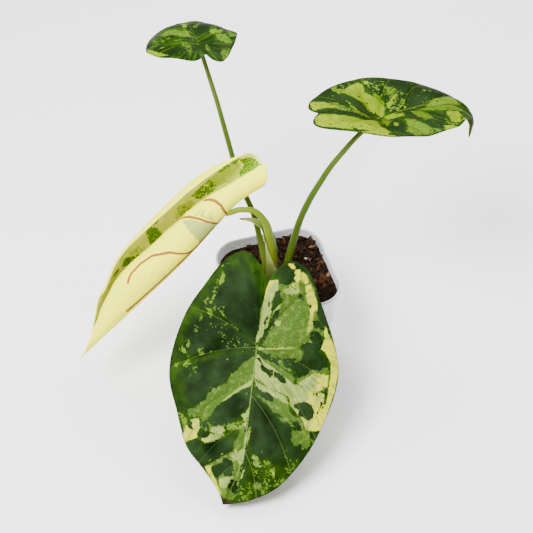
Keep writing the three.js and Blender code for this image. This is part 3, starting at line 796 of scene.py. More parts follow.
    def below(self) -> Material:
        """Builds the material of the underside, with its brown veins.

        Returns:
            The material.
        """
        shader = Shader(self.name + "_under")
        sage, cream, dark, _ = self.marks(shader)
        fine = shader.noise(shader.uv("flat"), self.UNDER, 3.0, 0.6)
        pale = shader.math("MAXIMUM", cream, shader.product(sage, self.patch_through))
        pale = shader.product(pale, shader.math("SUBTRACT", 1.0, dark))
        colour = shader.mix(pale, self.under, self.under_pale)
        colour = shader.mix(shader.span(fine, 0.4, 0.8, 0.0, 0.1), colour, self.sage)
        vein = shader.span(shader.number("vein"), self.line, 2.6 * self.line, 0.95, 0.0)
        colour = shader.mix(vein, colour, self.vein)
        midrib = shader.span(shader.number("midrib"), 0.8, 1.6, 0.95, 0.0)
        colour = shader.mix(midrib, colour, self.vein)
        colour = shader.mix(shader.number("dry"), colour, self.dry)
        shader.set(Base_Color=colour, Roughness=0.55, Specular_IOR_Level=self.shine)
        shader.set(Normal=shader.bump(fine, 0.06, 0.3))
        return shader.material


@dataclass
class Leaf:
    """A leaf: its blade as a thin quilted sheet with veins and markings.

    veins, where they are given, are the lines that its veins are painted along, with the midrib first.
    dry is how far its withered tip reaches, in millimetres.
    """

    SHORE = 0.4  # share of the withered reach that is fully withered
    RIB = ((0.0, 0.0), (0.6, 0.0), (0.8, 0.25), (1.0, 1.0))  # the midrib, in shares of the tip's place
    SAMPLE_RISE = 1.0  # millimetres above the face, for telling which way is up

    name: str
    node: str
    blade: Blade
    finish: BladeFinish
    slot: str
    patches: list[Patch]
    rows: int
    columns: int
    thickness: float = 0.9
    groove: float = 0.45
    groove_width: float = 1.0
    veins: list[list[Point]] = field(default_factory=list)
    dry: float = 0.0

    def build(self) -> Piece:
        """Models the blade and dresses it.

        Returns:
            The leaf's object.
        """
        mesh, at = grid_mesh(self.rows, 2 * self.columns)
        share = at[:, 0] / self.rows
        across = at[:, 1] / self.columns - 1.0
        flat = np.zeros((len(at), 2))
        points = np.zeros((len(at), 3))
        raised = np.zeros((len(at), 3))
        for side in Side:
            own = across >= 0 if side is Side.RIGHT else across < 0
            out = np.abs(across[own])
            places = self.blade.flat(side, share[own], out)
            flat[own] = places * self.blade.size
            height = self.blade.swell(side, share[own], out) + self.relief(side, flat[own], out)
            points[own] = self.blade.bend(places, height)
            raised[own] = self.blade.bend(places, height + self.SAMPLE_RISE)
        move_to(mesh, placed(points))
        add_uv(mesh, "flat", flat / FLAT_UNIT)
        add_uv(mesh, "strip", np.stack([share, across], -1))
        layer_u = mesh.verts.layers.float.new("along")
        layer_v = mesh.verts.layers.float.new("across")
        layer_up = mesh.verts.layers.float_vector.new("up")
        for vertex, (u, v), up in zip(mesh.verts, flat, placed(raised) - placed(points)):
            vertex[layer_u], vertex[layer_v] = u, v
            vertex[layer_up] = up.tolist()
        bmesh.ops.remove_doubles(mesh, verts=mesh.verts, dist=SAME_PLACE)
        bmesh.ops.recalc_face_normals(mesh, faces=mesh.faces)
        if sum(face.normal.dot(face.verts[0][layer_up]) for face in mesh.faces) < 0:
            bmesh.ops.reverse_faces(mesh, faces=mesh.faces)
        mesh.verts.layers.float_vector.remove(layer_up)
        piece = finished(self.name, mesh, [self.finish.upper(), self.finish.below()], (self.node,))
        self.mark(piece)
        thicken(piece, self.thickness, under=1)
        return piece

    def relief(self, side: Side, flat: Array, out: Array) -> Array:
        """Finds how far the blade sinks along its side veins, in millimetres."""
        away = np.min([distance_to(flat, line) for line in self.blade.vein_lines(side)], axis=0)
        return -self.groove * np.exp(-((away / self.groove_width) ** 2)) * (1 - out**3)

    def mark(self, piece: Piece) -> None:
        """Gives every vertex its markings and its distance to the veins.

        Args:
            piece: The leaf, whose vertices know their places on the flat blade.
        """
        data = piece.data
        count = len(data.vertices)
        flat = np.zeros((count, 2))
        for k, name in enumerate(("along", "across")):
            values = np.zeros(count, np.float32)
            data.attributes[name].data.foreach_get("value", values)
            flat[:, k] = values
        marks = np.zeros((count, len(Mark)))
        for patch in self.patches:
            column = patch.mark.value
            marks[:, column] = np.maximum(marks[:, column], patch.weight(flat))
        colours = data.attributes.new("marks", "FLOAT_COLOR", "POINT")
        colours.data.foreach_set("color", marks.astype(np.float32).ravel())
        lines = [line for side in Side for line in self.blade.vein_lines(side)]
        tip = np.array(self.blade.tip) * self.blade.size
        rib = np.array(self.RIB) * tip
        if self.veins:
            rib, *lines = [np.array(line) for line in self.veins]
        withered = np.zeros(count)
        if self.dry:
            withered = 1.0 - smooth_step(self.SHORE * self.dry, self.dry, np.linalg.norm(flat - tip, axis=1))
        for name, value in (
            ("vein", np.min([distance_to(flat, line) for line in lines], axis=0)),
            ("midrib", distance_to(flat, rib)),
            ("dry", withered),
        ):
            attribute = data.attributes.new(name, "FLOAT", "POINT")
            attribute.data.foreach_set("value", value.astype(np.float32))


# Stalks and the sheath


@dataclass(frozen=True)
class StalkFinish:
    """A stalk's colours, from its foot to the blade, with its fine lengthwise streaks."""

    name: str
    foot: Colour
    middle: Colour
    top: Colour
    streak: Colour
    rough: float = 0.38
    tint: Colour = (0.6, 0.85, 0.3)

    def material(self) -> Material:
        """Builds the material.

        Returns:
            The material.
        """
        shader = Shader(self.name)
        run = shader.uv("run")
        split = shader.add("SeparateXYZ", {0: run})
        colour = shader.mix(shader.span(split.outputs[0], 0.0, 0.35), self.foot, self.middle)
        colour = shader.mix(shader.span(split.outputs[0], 0.45, 0.95), colour, self.top)
        lines = shader.noise(shader.mapped(run, (5.0, 22.0, 1.0)), 1.0, 3.0, 0.6)
        spots = shader.noise(shader.place(), 420.0, 3.0, 0.6)
        colour = shader.mix(shader.span(lines, 0.45, 0.75, 0.0, 0.45), colour, self.streak)
        colour = shader.mix(shader.span(spots, 0.58, 0.72, 0.0, 0.3), colour, self.streak)
        shader.set(Base_Color=colour, Roughness=self.rough, Specular_IOR_Level=0.2)
        shader.set(Specular_Tint=self.tint)
        relief = shader.bump(lines, 0.05, 0.35)
        shader.set(Normal=shader.bump(spots, 0.05, 0.3, relief))
        return shader.material


@dataclass
class Route:
    """A stalk's line, with directions square to it, and its radius at shares of its length."""

    points: list[Point3]
    radius: list[Point]
    steps: int = 120
    line: Array = field(init=False)
    ahead: Array = field(init=False)
    front: Array = field(init=False)
    left: Array = field(init=False)

    def __post_init__(self) -> None:
        """Walks the line in even steps."""
        self.line = even_curve(self.points, self.steps)
        self.ahead = np.gradient(self.line, axis=0)
        self.ahead /= np.linalg.norm(self.ahead, axis=1)[:, None]
        front = np.tile([0.0, -1.0, 0.0], (self.steps + 1, 1))
        front -= (front * self.ahead).sum(1)[:, None] * self.ahead
        self.front = front / np.linalg.norm(front, axis=1)[:, None]
        self.left = np.cross(self.front, self.ahead)

    def ring(self, share: Array, angle: Array, out: Array) -> Array:
        """Finds points round the stalk.

        Args:
            share: Shares of its length.
            angle: Radians from the front towards the left.
            out: Millimetres from the middle line.

        Returns:
            Points in the plant's frame, in millimetres.
        """
        steps = np.linspace(0, 1, self.steps + 1)
        centre, front, left = (
            np.stack([np.interp(share, steps, table[:, k]) for k in range(3)], -1)
            for table in (self.line, self.front, self.left)
        )
        return centre + out[:, None] * (front * np.cos(angle)[:, None] + left * np.sin(angle)[:, None])


@dataclass
class Stalk:
    """A leaf's stalk: a long tapering stem with a shallow groove along its upper side.

    The groove's place and width are degrees round the stalk. end is the share of its thickness that is
    left where it runs into the blade.
    """

    name: str
    node: str
    route: Route
    finish: StalkFinish
    slot: str
    rows: int = 110
    columns: int = 22
    groove: float = 0.12
    groove_at: float = 180.0
    groove_wide: float = 34.0
    groove_from: float = 0.2
    swelling: float = 0.02
    swellings: float = 37.0
    end: float = 1.0

    def build(self) -> Piece:
        """Models the stalk and dresses it.

        Returns:
            The stalk's object.
        """
        mesh, at = grid_mesh(self.rows, self.columns)
        share = at[:, 0] / self.rows
        angle = at[:, 1] / self.columns * FULL_TURN
        away = np.abs((np.degrees(angle) - self.groove_at + 180) % 360 - 180)
        depth = self.groove * smooth_step(0.0, self.groove_from, share)
        hollow = 1 - depth * np.exp(-((away / self.groove_wide) ** 2))
        wave = 1 + self.swelling * np.sin(share * self.swellings + 2 * np.sin(angle))
        out = along(self.route.radius, share) * hollow * wave
        out[at[:, 0] == self.rows] *= self.end
        move_to(mesh, placed(self.route.ring(share, angle, out)))
        add_uv(mesh, "run", np.stack([share, at[:, 1] / self.columns], -1))
        ends = [[v for v in mesh.verts if at[v.index, 0] == row] for row in (0, self.rows)]
        bmesh.ops.remove_doubles(mesh, verts=mesh.verts, dist=SAME_PLACE)
        for end in ends:
            edges = {edge for v in end if v.is_valid for edge in v.link_edges if edge.is_boundary}
            bmesh.ops.holes_fill(mesh, edges=list(edges), sides=0)
        bmesh.ops.recalc_face_normals(mesh, faces=mesh.faces)
        return finished(self.name, mesh, [self.finish.material()], (self.node,))


@dataclass(frozen=True)
class SheathFinish:
    """The sheath's colours: green by the stalk, beige at its foot, and thin pale borders."""

    body: Colour = (0.13, 0.17, 0.02)
    foot: Colour = (0.14, 0.15, 0.035)
    border: Colour = (0.24, 0.28, 0.07)
    dry: Colour = (0.094, 0.04, 0.02)

    def material(self) -> Material:
        """Builds the material.

        Returns:
            The material.
        """
        shader = Shader("sheath_paper")
        run = shader.uv("run")
        split = shader.add("SeparateXYZ", {0: run})
        length, across = split.outputs[0], split.outputs[1]
        side = shader.math("ABSOLUTE", shader.math("SUBTRACT", across, 0.5))
        colour = shader.mix(shader.span(length, 0.1, 0.5), self.foot, self.body)
        lines = shader.noise(shader.mapped(run, (3.0, 30.0, 1.0)), 1.0, 3.0, 0.6)
        colour = shader.mix(shader.span(lines, 0.4, 0.7, 0.0, 0.5), colour, self.border)
        colour = shader.mix(shader.span(side, 0.33, 0.46), colour, self.border)
        colour = shader.mix(shader.span(length, 0.93, 0.96), colour, self.dry)
        shader.set(Base_Color=colour, Roughness=0.5, Specular_IOR_Level=0.4)
        shader.set(Normal=shader.bump(lines, 0.2, 0.7))
        return shader.material


@dataclass
class Sheath:
    """The papery sheath round the foot of the new leaf's stalk, with its free strap.

    rows holds, for shares of the stalk's length, the degrees round the stalk between which the sheath
    lies. tip is the strap's middle line, and tip_width its width along that line.
    """

    route: Route
    rows: list[Point3]
    tip: list[Point3]
    tip_width: list[float]
    wall: float = 0.5
    gap: float = 0.3
    flare: float = 0.5
    strap_from: float = 0.72
    strap_joins: float = 0.35
    strap_curl: float = 0.03
    strap_steps: int = 40
    ripple: float = 0.25
    ripples: float = 46.0
    ripple_from: float = 0.3
    long_steps: int = 90
    cross_steps: int = 24

    def build(self) -> Piece:
        """Models the sheath and dresses it.

        Returns:
            The sheath's object.
        """
        mesh, at = grid_mesh(self.long_steps, self.cross_steps)
        length = at[:, 0] / self.long_steps
        across = at[:, 1] / self.cross_steps
        shares, starts, stops = zip(*self.rows)
        share = np.interp(np.minimum(length / self.strap_from, 1), np.linspace(0, 1, len(shares)), shares)
        start, stop = along(list(zip(shares, starts)), share), along(list(zip(shares, stops)), share)
        angle = np.radians(start + (stop - start) * across)
        near_edge = smooth_step(self.ripple_from, 0.5, np.abs(across - 0.5))
        ripple = np.sin(length * self.ripples + 2 * across) * near_edge
        out = along(self.route.radius, share) + self.gap + self.wall / 2
        out = out + self.flare * share * (1 - across) ** 2 + self.ripple * ripple
        points = self.route.ring(share, angle, out)
        free = length > self.strap_from
        points[free] = self.strap(length[free], across[free], out[free])
        move_to(mesh, placed(points))
        add_uv(mesh, "run", np.stack([length, across], -1))
        bmesh.ops.recalc_face_normals(mesh, faces=mesh.faces)
        piece = finished("sheath_skin", mesh, [SheathFinish().material()], ("sheath_new",))
        thicken(piece, self.wall)
        return piece

    def strap(self, length: Array, across: Array, out: Array) -> Array:
        """Finds points of the free strap, which leaves the rolled part smoothly.

        Args:
            length: Shares of the sheath's length.
            across: Shares of its width.
            out: Millimetres from the stalk's middle line, where the strap starts.

        Returns:
            Points in the plant's frame, in millimetres.
        """
        last, start, stop = self.rows[-1]
        centre, ahead = self.route.ring(np.full(2, last), np.zeros(2), np.array([0.0, 1.0]))
        line = even_curve(self.tip, self.strap_steps)
        t = (length - self.strap_from) / (1 - self.strap_from)
        steps = np.linspace(0, 1, self.strap_steps + 1)
        middle = np.stack([np.interp(t, steps, line[:, k]) for k in range(3)], -1)
        width = np.interp(t, np.linspace(0, 1, len(self.tip_width)), self.tip_width)
        sideways = ((0.5 - across) * width)[:, None]
        curved = middle + (ahead - centre) * sideways
        curved = curved + np.array([0.0, 0.0, self.strap_curl]) * (2 * sideways) ** 2
        rim = self.route.ring(np.full_like(out, last), np.radians(start + (stop - start) * across), out)
        blend = smooth_step(0.0, self.strap_joins, t)[:, None]
        return rim * (1 - blend) + curved * blend


# The pot


@dataclass(frozen=True)
class PotFinish:
    """Clear to whitish moulded plastic, slightly cloudy."""

    tint: Colour = (0.93, 0.93, 0.98)
    cloud: Colour = (0.8, 0.8, 0.9)
    # edge: the colour of the painted shade along the rim and under the band's step
    edge: Colour = (0.3, 0.3, 0.38)

    def material(self) -> Material:
        """Builds the material.

        Returns:
            The material.
        """
        shader = Shader("pot_plastic")
        place = shader.place()
        cloud = shader.noise(place, 38.0, 3.0, 0.55)
        fine = shader.noise(place, 700.0, 2.0, 0.5)
        colour = shader.mix(shader.span(cloud, 0.35, 0.7), self.tint, self.cloud)
        # painted shade, on the rows that the edge attribute marks
        colour = shader.mix(shader.number("edge"), colour, self.edge)
        shader.set(Base_Color=colour, Roughness=shader.span(cloud, 0.3, 0.7, 0.22, 0.34))
        shader.set(IOR=1.46, Transmission_Weight=0.25, Specular_IOR_Level=0.5)
        shader.set(Normal=shader.bump(fine, 0.03, 0.4))
        return shader.material


@dataclass
class Pot:
    """A thin rounded square tub with a wider band under its rim, short fins and drain holes."""

    # EDGE_SHADE_ROWS: painted shade under the band's step (rows 4 to 7) and along the rim, outside and just inside
    # (rows 11, 12 and 15)
    EDGE_SHADE_ROWS = {4: 0.15, 5: 0.55, 6: 0.7, 7: 0.4, 11: 0.7, 12: 0.9, 15: 0.25}  # how dark a profile's rows are
    SEED_RADIUS = 0.01
    DRILL_SIDES = 32

    height: float = 75.0
    rim_half: float = 40.0
    corner: float = 20.0
    foot_half: float = 33.1
    body_top_half: float = 37.0
    wall: float = 1.4
    floor: float = 2.0
    band: float = 12.5
    band_step: float = 1.0
    lip: float = 0.8
    fin_thick: float = 1.1
    fin_proud: float = 1.0
    fin_height: float = 9.0
    fin_out: float = 0.2
    drain_radius: float = 3.0
    drain_offset: float = 17.0
    corner_steps: int = 14

    @property
    def band_foot(self) -> float:
        """Gives the height at which the band starts."""
        return self.height - self.band

    def body_half(self, z: float) -> float:
        """Gives half the body's width at a height."""
        return self.foot_half + (self.body_top_half - self.foot_half) * z / self.band_foot

    def band_half(self, z: float) -> float:
        """Gives half the band's width at a height."""
        start = self.body_top_half + self.band_step
        return start + (self.rim_half - start) * (z - self.band_foot) / self.band

    def ring(self, half: float, z: float) -> list[Vector]:
        """Draws a rounded square.

        Args:
            half: Half its width in millimetres.
            z: Its height in millimetres.

        Returns:
            Points in the model's frame, in metres.
        """
        corner = max(self.corner - (self.rim_half - half), 0.5)
        points = []
        for quarter in range(4):
            middle = (quarter + 0.5) * QUARTER_TURN
            for step in range(self.corner_steps + 1):
                angle = (quarter + step / self.corner_steps) * QUARTER_TURN
                x = math.copysign(half - corner, math.cos(middle)) + corner * math.cos(angle)
                y = math.copysign(half - corner, math.sin(middle)) + corner * math.sin(angle)
                points.append(Vector((x, y, z)) * MM)
        return points

    def profile(self) -> list[Point]:
        """Draws the wall in section, up the outside, over the rim and down the inside.

        Returns:
            Pairs of half width and height, in millimetres.
        """
        foot, top = self.band_foot, self.height
        lip, step, wall, floor = self.lip, self.band_step, self.wall, self.floor
        body, band = self.body_half, self.band_half
        outside = [
            (self.foot_half - lip, 0.0),
            (self.foot_half - 0.3 * lip, 0.25 * lip),
            (body(lip), lip),
            (body(2.5 * lip), 2.5 * lip),
            (body(foot - 3 * step), foot - 3 * step),
            (body(foot - 1.6 * step), foot - 1.6 * step),
            (body(foot - 1.2 * step) + 0.35, foot - 1.2 * step),
            (band(foot) - 0.3, foot - 0.75 * step),
            (band(foot), foot - 0.2 * step),
            (band(foot + 2), foot + 2),
            (band(top - 3), top - 3),
            (self.rim_half - 0.15, top - lip),
            (self.rim_half - 0.2 * lip, top - 0.3 * lip),
            (self.rim_half - 0.6 * lip, top - 0.05 * lip),
        ]
        inside = [
            (self.rim_half - wall, top - 0.1 * lip),
            (band(top - 1.5) - wall, top - 1.5),
            (band(foot + 2) - wall, foot + 2),
            (band(foot + 1) - wall - 0.2, foot + 1),
            (body(foot - 1) - wall, foot - 1),
            (body(2 * floor) - wall, 2 * floor),
            (body(floor) - wall - 0.8, floor + 0.2),
            (body(floor) - wall - 1.8, floor),
        ]
        return outside + inside

    def build(self) -> Piece:
        """Models the pot and dresses it.

        Returns:
            The pot's object.
        """
        mesh = bmesh.new()
        # the edge attribute carries the painted shade of each row
        edge_shade_layer = mesh.verts.layers.float.new("edge")
        profile = self.profile()
        count = 4 * (self.corner_steps + 1)
        bmesh.ops.create_circle(mesh, cap_ends=False, segments=count, radius=self.SEED_RADIUS)
        mesh.verts.ensure_lookup_table()
        for vertex, point in zip(sorted(mesh.verts, key=self.bearing), self.ring(*profile[0])):
            vertex.co = point
        first = list(mesh.edges)
        edges = first
        for row, (half, z) in enumerate(profile[1:], 1):
            made = bmesh.ops.extrude_edge_only(mesh, edges=edges)["geom"]
            ring = [item for item in made if isinstance(item, bmesh.types.BMVert)]
            edges = [item for item in made if isinstance(item, bmesh.types.BMEdge)]
            for vertex, point in zip(sorted(ring, key=self.bearing), self.ring(half, z)):
                vertex.co = point
                # painted shade on this row
                vertex[edge_shade_layer] = self.EDGE_SHADE_ROWS.get(row, 0.0)
        bmesh.ops.holes_fill(mesh, edges=first, sides=0)
        bmesh.ops.holes_fill(mesh, edges=edges, sides=0)
        bmesh.ops.recalc_face_normals(mesh, faces=mesh.faces)
        piece = finished("pot_shell", mesh, [PotFinish().material()], ("pot",))
        self.add_fins(piece)
        self.drill(piece)
        weighted = piece.modifiers.new("shading", "WEIGHTED_NORMAL")
        weighted.keep_sharp = True
        return piece

    @staticmethod
    def bearing(vertex: bmesh.types.BMVert) -> float:
        """Measures a vertex's turn about the upright axis."""
        return math.atan2(vertex.co.y, vertex.co.x) % FULL_TURN

    def add_fins(self, piece: Piece) -> None:
        """Puts two short upright fins under the band on each side.

        Args:
            piece: The pot.
        """
        top = self.band_foot - self.band_step / 2
        mesh = bmesh.new()
        mesh.from_mesh(piece.data)
        middle = top - self.fin_height / 2
        half = self.body_half(middle)
        corner = self.corner - (self.rim_half - half)
        size = Vector((1.6 * self.fin_proud, self.fin_thick, self.fin_height)) * MM
        for side in range(4):
            turn = Matrix.Rotation(side * QUARTER_TURN, 3, "Z")
            for end in (-1, 1):
                place = Vector((half + self.fin_out, end * (half - corner), middle)) * MM
                made = bmesh.ops.create_cube(mesh, size=1.0)["verts"]
                bmesh.ops.scale(mesh, vec=size, verts=made)
                bmesh.ops.translate(mesh, vec=place, verts=made)
                bmesh.ops.rotate(mesh, cent=(0, 0, 0), matrix=turn, verts=made)
        mesh.to_mesh(piece.data)
        mesh.free()

    def drill(self, piece: Piece) -> None:
        """Cuts the drain holes through the floor.

        Args:
            piece: The pot.
        """
        mesh = bmesh.new()
        radius, depth = self.drain_radius * MM, 4 * self.floor * MM
        for side in range(4):
            made = bmesh.ops.create_cone(mesh, cap_ends=True, segments=self.DRILL_SIDES, radius1=radius,
                                         radius2=radius, depth=depth)["verts"]
            place = Vector((self.drain_offset, self.drain_offset, 0)) * MM
            place.rotate(Matrix.Rotation(side * QUARTER_TURN, 3, "Z"))
            bmesh.ops.translate(mesh, vec=place, verts=made)
        data = bpy.data.meshes.new("drills")
        mesh.to_mesh(data)
        mesh.free()
        cutter = bpy.data.objects.new("drills", data)
        bpy.context.scene.collection.objects.link(cutter)
        modifier = piece.modifiers.new("drain", "BOOLEAN")
        modifier.object = cutter
        modifier.operation = "DIFFERENCE"
        modifier.solver = "EXACT"
        modifier.use_self = True
        bpy.context.view_layer.update()
        cut = bpy.data.meshes.new_from_object(piece.evaluated_get(bpy.context.evaluated_depsgraph_get()))
        piece.modifiers.clear()
        piece.data = cut
        bpy.data.objects.remove(cutter)


# Soil and crown


@dataclass(frozen=True)
class ChipFinish:
    """Moist coir and bark: dark brown chips, some of them reddish or tan."""

    dark: Colour = (0.005, 0.003, 0.002)
    brown: Colour = (0.02, 0.01, 0.006)
    red: Colour = (0.057, 0.022, 0.009)
    tan: Colour = (0.2, 0.11, 0.057)
    grit: Colour = (0.5, 0.48, 0.44)

    def material(self, name: str, by_chip: bool) -> Material:
        """Builds the material.

        Args:
            name: The material's name.
            by_chip: Whether each chip has a tone of its own.

        Returns:
            The material.
        """
        shader = Shader(name)
        place = shader.place()
        fibre = shader.noise(shader.mapped(place, (900.0, 900.0, 380.0)), 1.0, 4.0, 0.65)
        patch = shader.noise(place, 160.0, 3.0, 0.6)
        colour = shader.mix(shader.span(patch, 0.35, 0.7), self.dark, self.brown)
        if by_chip:
            tone = shader.number("tone")
            colour = shader.mix(shader.span(tone, 0.45, 0.8), colour, self.brown)
            colour = shader.mix(shader.span(tone, 0.8, 0.92), colour, self.red)
            colour = shader.mix(shader.span(tone, 0.965, 0.98), colour, self.tan)
            colour = shader.mix(shader.span(tone, 0.99, 0.994), colour, self.grit)
        colour = shader.mix(shader.span(fibre, 0.5, 0.8, 0.0, 0.5), colour, self.red)
        shader.set(Base_Color=colour, Roughness=0.8, Specular_IOR_Level=0.04)
        shader.set(Normal=shader.bump(fibre, 0.5, 0.9))
        return shader.material


@dataclass
class Soil:
    """The soil's loose top: coarse chips and slivers lying on the packed soil."""

    top: float = 68.6
    slope_towards: float = math.radians(30)
    slope_rise: float = 0.045
    hollow: float = 0.6
    hollow_reach: float = 40.0
    half: float = 36.2
    corner: float = 17.0
    clear: float = 1.2
    chips: int = 1500
    chip_long: Point = (2.6, 9.0)
    chip_wide: Point = (1.2, 4.2)
    chip_thick: Point = (0.7, 2.6)
    chip_radius: float = 0.55
    chip_tilt: Point = (0.4, 0.5)
    chip_ragged: float = 0.4
    lift: Point = (-0.8, 2.2)
    seed: int = 4

    def height(self, x: Array, y: Array) -> Array:
        """Gives the soil's level at a place of the plant's frame."""
        heap = self.slope_rise * (x * math.cos(self.slope_towards) + y * math.sin(self.slope_towards))
        return self.top + heap - self.hollow * np.hypot(x, y) / self.hollow_reach

    def spots(self, random: np.random.Generator) -> Array:
        """Draws places inside the pot's rounded square.

        Args:
            random: The source of random numbers.

        Returns:
            Pairs of x and y in the model's frame, in millimetres.
        """
        tried = random.uniform(-self.half, self.half, (4 * self.chips, 2))
        inner = self.half - self.corner
        over = np.maximum(np.abs(tried) - inner, 0)
        return tried[np.hypot(over[:, 0], over[:, 1]) < self.corner - self.clear][: self.chips]

    def build(self) -> Piece:
        """Scatters the chips.

        Returns:
            The chips as one object.
        """
        random = np.random.default_rng(self.seed)
        mesh = bmesh.new()
        tone = mesh.verts.layers.float.new("tone")
        for x, y in self.spots(random):
            cos, sin = math.cos(-PLANT_TURN), math.sin(-PLANT_TURN)
            level = float(self.height(np.array(x * cos - y * sin), np.array(x * sin + y * cos)))
            size = [random.uniform(*limits) * MM for limits in (self.chip_long, self.chip_wide, self.chip_thick)]
            tilt = Matrix.Rotation(random.uniform(0, FULL_TURN), 4, "Z")
            for spread, axis in zip(self.chip_tilt, "YX"):
                tilt @= Matrix.Rotation(random.normal(0, spread), 4, axis)
            place = Matrix.Translation(Vector((x, y, level + random.uniform(*self.lift))) * MM)
            made = bmesh.ops.create_icosphere(mesh, subdivisions=1, radius=self.chip_radius,
                                              matrix=place @ tilt @ Matrix.Diagonal((*size, 1.0)))
            own = random.uniform(0, 1)
            for vertex in made["verts"]:
                vertex.co += Vector(random.normal(0, self.chip_ragged, 3)) * MM
                vertex[tone] = own
        piece = finished("soil_chips", mesh, [ChipFinish().material("coir_chips", True)])
        piece.data.polygons.foreach_set("use_smooth", [False] * len(piece.data.polygons))
        return piece


# The studio


@dataclass
class Studio:
    """A white floor, soft light and the camera, in the plant's frame.

    focus and image are pixels, sensor, distance, aim and the shifts are millimetres, and all other
    lengths are metres.
    """

    LIGHTS = (("key", (-0.45, -0.5, 1.1), 0.5, 44.0), ("top", (0.3, 0.6, 1.2), 0.9, 29.0))
    LIT_PLACE = (0.0, 0.0, 0.1)

    elevation: float = 45.7
    distance: float = 900.0
    aim: Point3 = (0.0, 0.0, 75.0)
    shift_right: float = 8.05
    shift_up: float = -3.05
    focus: float = 1257.0
    image: float = 533.0
    sensor: float = 36.0
    nearest: float = 0.01
    farthest: float = 20.0
    floor_half: float = 6.0
    floor_level: float = -0.0005
    floor_white: float = 0.93
    world_light: float = 0.6

    def camera(self) -> None:
        """Sets up the camera."""
        tilt = math.radians(self.elevation)
        back = np.array([0.0, -math.cos(tilt), math.sin(tilt)])
        up = np.array([0.0, math.sin(tilt), math.cos(tilt)])
        where = np.array(self.aim) + back * self.distance - np.array([self.shift_right, 0, 0]) - up * self.shift_up
        data = bpy.data.cameras.new("camera")
        data.sensor_width = self.sensor
        data.lens = self.focus / self.image * self.sensor
        data.clip_start, data.clip_end = self.nearest, self.farthest
        camera = bpy.data.objects.new("camera", data)
        camera.location = Vector(placed(where))
        camera.rotation_euler = (QUARTER_TURN - tilt, 0.0, PLANT_TURN)
        bpy.context.scene.collection.objects.link(camera)
        bpy.context.scene.camera = camera

    def floor(self) -> None:
        """Lays the floor."""
        mesh = bmesh.new()
        bmesh.ops.create_grid(mesh, x_segments=1, y_segments=1, size=self.floor_half)
        data = bpy.data.meshes.new("floor")
        mesh.to_mesh(data)
        mesh.free()
        shader = Shader("floor_white")
        shader.set(Base_Color=(self.floor_white,) * 3, Roughness=0.9, Specular_IOR_Level=0.0)
        data.materials.append(shader.material)
        floor = bpy.data.objects.new("floor", data)
        floor.location.z = self.floor_level
        bpy.context.scene.collection.objects.link(floor)

    def light(self, name: str, where: Point3, size: float, power: float) -> None:
        """Hangs a soft light that points at the plant.

        Args:
            name: The light's name.
            where: Its place in the plant's frame, in metres.
            size: Its width in metres.
            power: Its power in watts.
        """
        data = bpy.data.lights.new(name, "AREA")
        data.shape = "SQUARE"
        data.size = size
        data.energy = power
        lamp = bpy.data.objects.new(name, data)
        lamp.location = Vector(placed(np.array(where) / MM))
        aim = Vector(self.LIT_PLACE) - lamp.location
        lamp.rotation_euler = aim.to_track_quat("-Z", "Y").to_euler()
        bpy.context.scene.collection.objects.link(lamp)

    def build(self) -> None:
        """Sets up camera, floor and lights."""
        self.camera()
        self.floor()
        world = bpy.data.worlds.new("studio")
        world.use_nodes = True
        background = world.node_tree.nodes["Background"]
        background.inputs["Color"].default_value = (1.0, 1.0, 1.0, 1.0)
        background.inputs["Strength"].default_value = self.world_light
        bpy.context.scene.world = world
        for light in self.LIGHTS:
            self.light(*light)


# The plant's measures

# In these finishes, fold_shade sets the painted shade along small folds, and painted_sheen a painted highlight on the
# darkest green
GREEN_FINISH = BladeFinish(
    name="blade_green", dark=(0.002, 0.009, 0.001), deep=(0.0008, 0.004, 0.0005), green=(0.016, 0.044, 0.001),
    sage=(0.038, 0.078, 0.009), cream=(0.18, 0.24, 0.05), shine=0.07, under_pale=(0.23, 0.25, 0.1),
    vein=(0.067, 0.04, 0.013), flecks=(0.03, 0.04, 0.05), fold_shade=0.45, painted_sheen=0.9,
)
LIME_FINISH = BladeFinish(
    name="blade_lime", green=(0.016, 0.047, 0.0007), sage=(0.06, 0.11, 0.0007), cream=(0.115, 0.175, 0.0003),
    yellow=(0.17, 0.23, 0.0005), shine=0.07, shine_tint=(0.5, 0.9, 0.15), dry=(0.08, 0.11, 0.003),
    flecks=(0.0, 0.03, 0.1), ragged=3.2, white=(0.19, 0.25, 0.002), painted_sheen=0.4,
)
BACK_FINISH = BladeFinish(
    name="blade_back", green=(0.02, 0.057, 0.0007), sage=(0.054, 0.11, 0.003), cream=(0.11, 0.18, 0.001),
    yellow=(0.15, 0.21, 0.001), shine_tint=(0.5, 0.9, 0.15), fold_shade=0.95, fold_rate=30.0,
    white=(0.13, 0.2, 0.004), rib=0.15, ragged=3.0, flecks=(0.0, 0.0, 0.14),
)
YOUNG_FINISH = BladeFinish(
    name="blade_young", dark=(0.045, 0.14, 0.002), deep=(0.78, 0.84, 0.12), green=(0.97, 0.94, 0.3),
    sage=(0.3, 0.5, 0.01), cream=(0.5, 0.6, 0.06), yellow=(0.55, 0.65, 0.08), under=(0.93, 0.9, 0.004),
    under_pale=(0.26, 0.37, 0.09), vein=(0.2, 0.05, 0.02), fleck=(0.5, 0.6, 0.05), white=(0.8, 0.83, 0.2), shine=0.05,
    mottle=0.9, grain=50.0, fold_shade=0.6, line=0.5, patch_through=0.9, dry=(0.85, 0.8, 0.2), ragged=3.0,
)
BARK_FINISH = ChipFinish(dark=(0.09, 0.035, 0.02))
STALK = StalkFinish("stalk_skin", (0.067, 0.1, 0.008), (0.04, 0.07, 0.005), (0.075, 0.11, 0.014),
                    (0.022, 0.046, 0.002))
YOUNG_STALK = StalkFinish("young_stalk_skin", (0.15, 0.18, 0.013), (0.13, 0.18, 0.005), (0.13, 0.18, 0.007),
                          (0.067, 0.11, 0.003))

